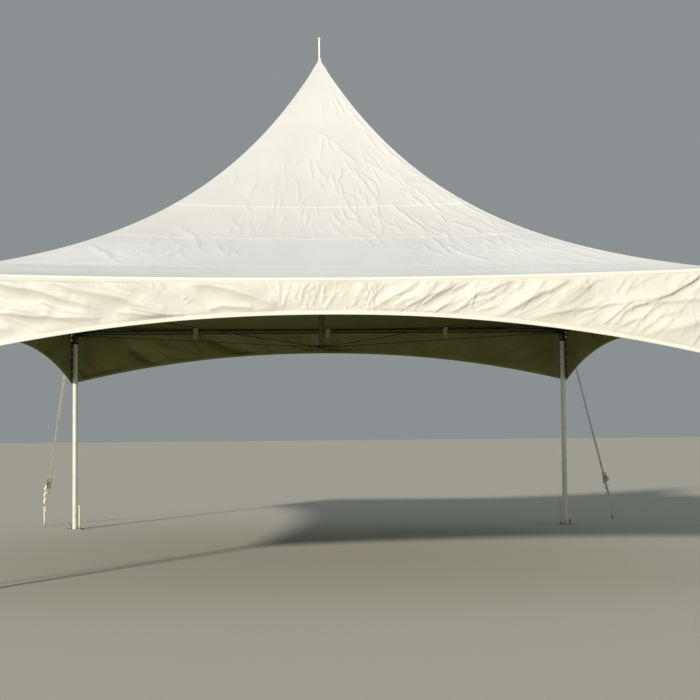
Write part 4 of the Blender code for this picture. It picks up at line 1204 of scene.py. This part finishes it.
def rail_tie(across):
    """Strap round the front rail at a place along it, from the cloth down, round and up again."""
    around = RAIL_RADIUS + TIE_CLEAR + TIE_THICKNESS / 2
    route = []
    for sign in (1, -1):
        reach = LEG_LINE + sign * around
        depth = (CLOTH + UNDER_CLOTH) * steepness(reach)
        under = float(hip_height(reach) - sag_at(reach, across / reach) - depth)
        route.append(Vector((across, -reach, under)))
    turns = [math.radians(degrees) for degrees in range(0, 181, 15)]
    bottom = [Vector((across, -LEG_LINE - around * math.cos(turn), RAIL_HEIGHT - around * math.sin(turn)))
              for turn in turns]
    loop = ribbon([route[0]] + bottom + [route[1]], (1, 0, 0), TIE_WIDTH, TIE_THICKNESS)
    inner = -LEG_LINE + around + TIE_THICKNESS + TAIL_CLEAR
    tail = [Vector((across + TAIL_ASIDE, inner + out, RAIL_HEIGHT + up)) for up, out in TIE_TAIL]
    return [loop, ribbon(tail, (1, 0, 0), TAIL_WIDTH, TIE_THICKNESS)]


for side, name in enumerate(SIDES):
    for number, place in enumerate(TIE_PLACES, 1):
        mesh = to_mesh(rail_tie(place), f"rail_tie_{name}_{number}")
        add_piece(mesh, (TIE_WEBBING,), side)
print("ties:", len(SIDES) * len(TIE_PLACES))

# %% Tube and ring helpers
RING_SIDES = 16
WIRE_SIDES = 6


def circle(centre, first, second, radius, sides):
    """Points round a centre in the plane of two unit ways."""
    turns = [2 * math.pi * k / sides for k in range(sides)]
    return [centre + (first * math.cos(turn) + second * math.sin(turn)) * radius for turn in turns]


def tube_along(points, radius, sides=8):
    """A round cord or wire as a closed tube along a route, with flat ends."""
    normal = way_at(points, 0).orthogonal().normalized()
    loops = []
    for i, point in enumerate(points):
        ahead = way_at(points, i)
        normal = (normal - ahead * normal.dot(ahead)).normalized()
        loops.append(circle(point, normal, ahead.cross(normal), radius, sides))
    return skinned(loops)


def ring(centre, axis, radius, wire):
    """A plain ring such as an eyelet, about an axis."""
    axis = Vector(axis).normalized()
    flat = axis.orthogonal().normalized()
    outward = circle(Vector(), flat, axis.cross(flat), 1.0, RING_SIDES)
    loops = [circle(centre + way * radius, way, axis, wire, WIRE_SIDES) for way in outward]
    return skinned(loops, closed=True)


# %% Corner laces
LACE_TOP = 2.27
LACE_STEP = 0.045
LACE_TURNS = 10
LACE_INSET = 0.055  # eyelets from the corner
LACE_RADIUS = 0.005
LACE_OFF_CLOTH = 0.0075
LACE_TURN_SHARES = (0, 0.12, 0.88)  # along a run, where the cord bends at its eyelets
EYELET_RADIUS = 0.008
EYELET_WIRE = 0.0012
EYELET_OFF_CLOTH = 0.0014

inner_face = EAVE - VALANCE_THICKNESS
for turn, corner in enumerate(CORNERS):
    route = []
    eyelets = []
    for k in range(LACE_TURNS + 1):
        height = LACE_TOP - k * LACE_STEP
        on_front = k % 2 == 0
        along, off = EAVE - LACE_INSET, inner_face - LACE_OFF_CLOTH
        place = Vector((along, -off, height)) if on_front else Vector((off, -along, height))
        route.append(place)
        outward = Vector((0, -1, 0)) if on_front else Vector((1, 0, 0))
        on_cloth = place + outward * (LACE_OFF_CLOTH - EYELET_OFF_CLOTH)
        eyelets.append(ring(on_cloth, outward, EYELET_RADIUS, EYELET_WIRE))
    smooth_route = []
    for start, end in zip(route, route[1:]):
        smooth_route += [start.lerp(end, share) for share in LACE_TURN_SHARES]
    lace = to_mesh([tube_along(smooth_route + [route[-1]], LACE_RADIUS)], f"corner_lace_{corner}")
    rings = to_mesh(eyelets, f"corner_eyelets_{corner}")
    add_piece(lace, (LACE_CORD,), turn)
    add_piece(rings, (ZINC,), turn)
print("laces:", len(CORNERS), "with", LACE_TURNS + 1, "eyelets each")

# %% [markdown]
# ## Bolts
# Each sleeve of a corner fitting is drilled for one bolt that pins its tube. The heads are plain
# hexagons with a washer, zinc plated.

# %% Sleeve bolts
BOLT_ACROSS = 0.016
BOLT_HEAD = 0.008
HEAD_TAPER = 0.94  # the outer end's width as a share of the inner one's
WASHER = (0.012, 0.0016)  # radius and thickness
WASHER_SUNK = 0.0006  # so that its face meets a round tube
SLEEVE_WALL = 0.006
LEG_BOLT_DROP = 0.10  # below the rail centre line
RAIL_BOLT_REACH = 0.19  # from the leg's line along each rail


def hex_bolt(place, way):
    """Hexagonal head on a washer, standing off a surface at a place along a way."""
    made = bmesh.new()
    turned_up = Vector(way).to_track_quat("Z", "Y").to_matrix().to_4x4()
    radius, thick = WASHER
    corner_radius = BOLT_ACROSS / math.sqrt(3)
    for sides, size, low, high in ((20, radius, -WASHER_SUNK, thick), (6, corner_radius, thick, BOLT_HEAD)):
        matrix = Matrix.Translation(place) @ turned_up @ Matrix.Translation((0, 0, (low + high) / 2))
        bmesh.ops.create_cone(made, cap_ends=True, segments=sides, radius1=size, radius2=size * HEAD_TAPER,
                              depth=high - low, matrix=matrix)
    return made


leg_low, leg_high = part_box("leg_front_right")
leg_sleeve = (leg_high.x - leg_low.x) / 2 + SLEEVE_WALL
rail_sleeve = RAIL_RADIUS + SLEEVE_WALL
for turn, corner in enumerate(CORNERS):
    inward = Vector((-1, 1, 0)).normalized()
    corner_place = Vector((LEG_LINE, -LEG_LINE, RAIL_HEIGHT))
    bolts = [hex_bolt(corner_place + inward * leg_sleeve + Vector((0, 0, -LEG_BOLT_DROP)), inward),
             hex_bolt(corner_place + Vector((-RAIL_BOLT_REACH, 0, -rail_sleeve)), (0, 0, -1)),
             hex_bolt(corner_place + Vector((0, RAIL_BOLT_REACH, -rail_sleeve)), (0, 0, -1))]
    add_piece(to_mesh(bolts, f"sleeve_bolts_{corner}"), (ZINC,), turn)
print("bolts:", 3 * len(CORNERS))

# %% [markdown]
# ## Spare webbing
# A strap is longer than its guy, so the end that comes off the ratchet's drum is looped over the
# frame and tucked back between its plates, to keep it from flapping. What is left hangs down
# beside the guy in loose bends, turned on edge.

# %% Spare loops
LOOP_WIDTH = 0.028
LOOP_THICKNESS = 0.0022
NECK_DROP = 0.04  # where the strap goes round a stake, below the stake's top
LOOP_ROUTE = (  # down the strap and off its face, in metres, from the ratchet's middle
    (-0.006, 0.0205), (0.004, 0.034), (0.020, 0.047), (0.042, 0.052), (0.062, 0.044),
    (0.072, 0.030), (0.066, 0.019), (0.050, 0.0155), (0.034, 0.0150))
END_ROUTE = (  # down the strap and out beside it, in metres, from the ratchet's middle
    (0.024, 0.0345), (0.044, 0.0345), (0.062, 0.046), (0.078, 0.048), (0.096, 0.034), (0.112, 0.024),
    (0.130, 0.030), (0.150, 0.044), (0.168, 0.040), (0.186, 0.027), (0.206, 0.021), (0.228, 0.030),
    (0.250, 0.026), (0.268, 0.018))

for corner in CORNERS:
    middle = sum(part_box(f"ratchet_{corner}"), Vector()) / 2
    stake_low, stake_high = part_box(f"guy_stake_{corner}")
    neck = Vector(((stake_low.x + stake_high.x) / 2, (stake_low.y + stake_high.y) / 2,
                   stake_high.z - NECK_DROP))
    strap_low, strap_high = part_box(f"guy_strap_{corner}")
    outward = Vector((math.copysign(1, neck.x), math.copysign(1, neck.y), 0)) / math.sqrt(2)
    top = outward * (min(abs(strap_low.x), abs(strap_high.x)) * math.sqrt(2)) + Vector((0, 0, strap_high.z))
    heading = (neck - top).normalized()
    centre = top + heading * ((middle.z - top.z) / heading.z)
    across = Vector((-outward.y, outward.x, 0))
    face = heading.cross(across).normalized()
    route = [centre + heading * down + face * off for down, off in LOOP_ROUTE]
    end = [centre + heading * down + across * out for down, out in END_ROUTE]
    spare = [ribbon(way, side, LOOP_WIDTH, LOOP_THICKNESS) for way, side in ((route, across), (end, face))]
    add_piece(to_mesh(spare, f"spare_webbing_{corner}"), (GUY_WEBBING,))
    lean = math.degrees(math.acos(-heading.z))
    print(corner, "ratchet", round(middle.z, 3), "m up, guy leans", round(lean, 1), "degrees")

# %% [markdown]
# ## Floor
# A plain pale floor catches the soft shadow and throws a little light up under the roof.

# %% Floor
FLOOR = 60.0  # half its width
corners = [(x * FLOOR, y * FLOOR, 0) for x, y in ((-1, -1), (1, -1), (1, 1), (-1, 1))]
floor_mesh = bpy.data.meshes.new("floor")
floor_mesh.from_pydata(corners, [], [(0, 1, 2, 3)])
floor = bpy.data.objects.new("floor", floor_mesh)
bpy.context.scene.collection.objects.link(floor)
floor_finish = new_material("pale_studio_floor", Base_Color=linear("#bdbcb2"), Roughness=0.9)[0]
floor.data.materials.append(floor_finish)
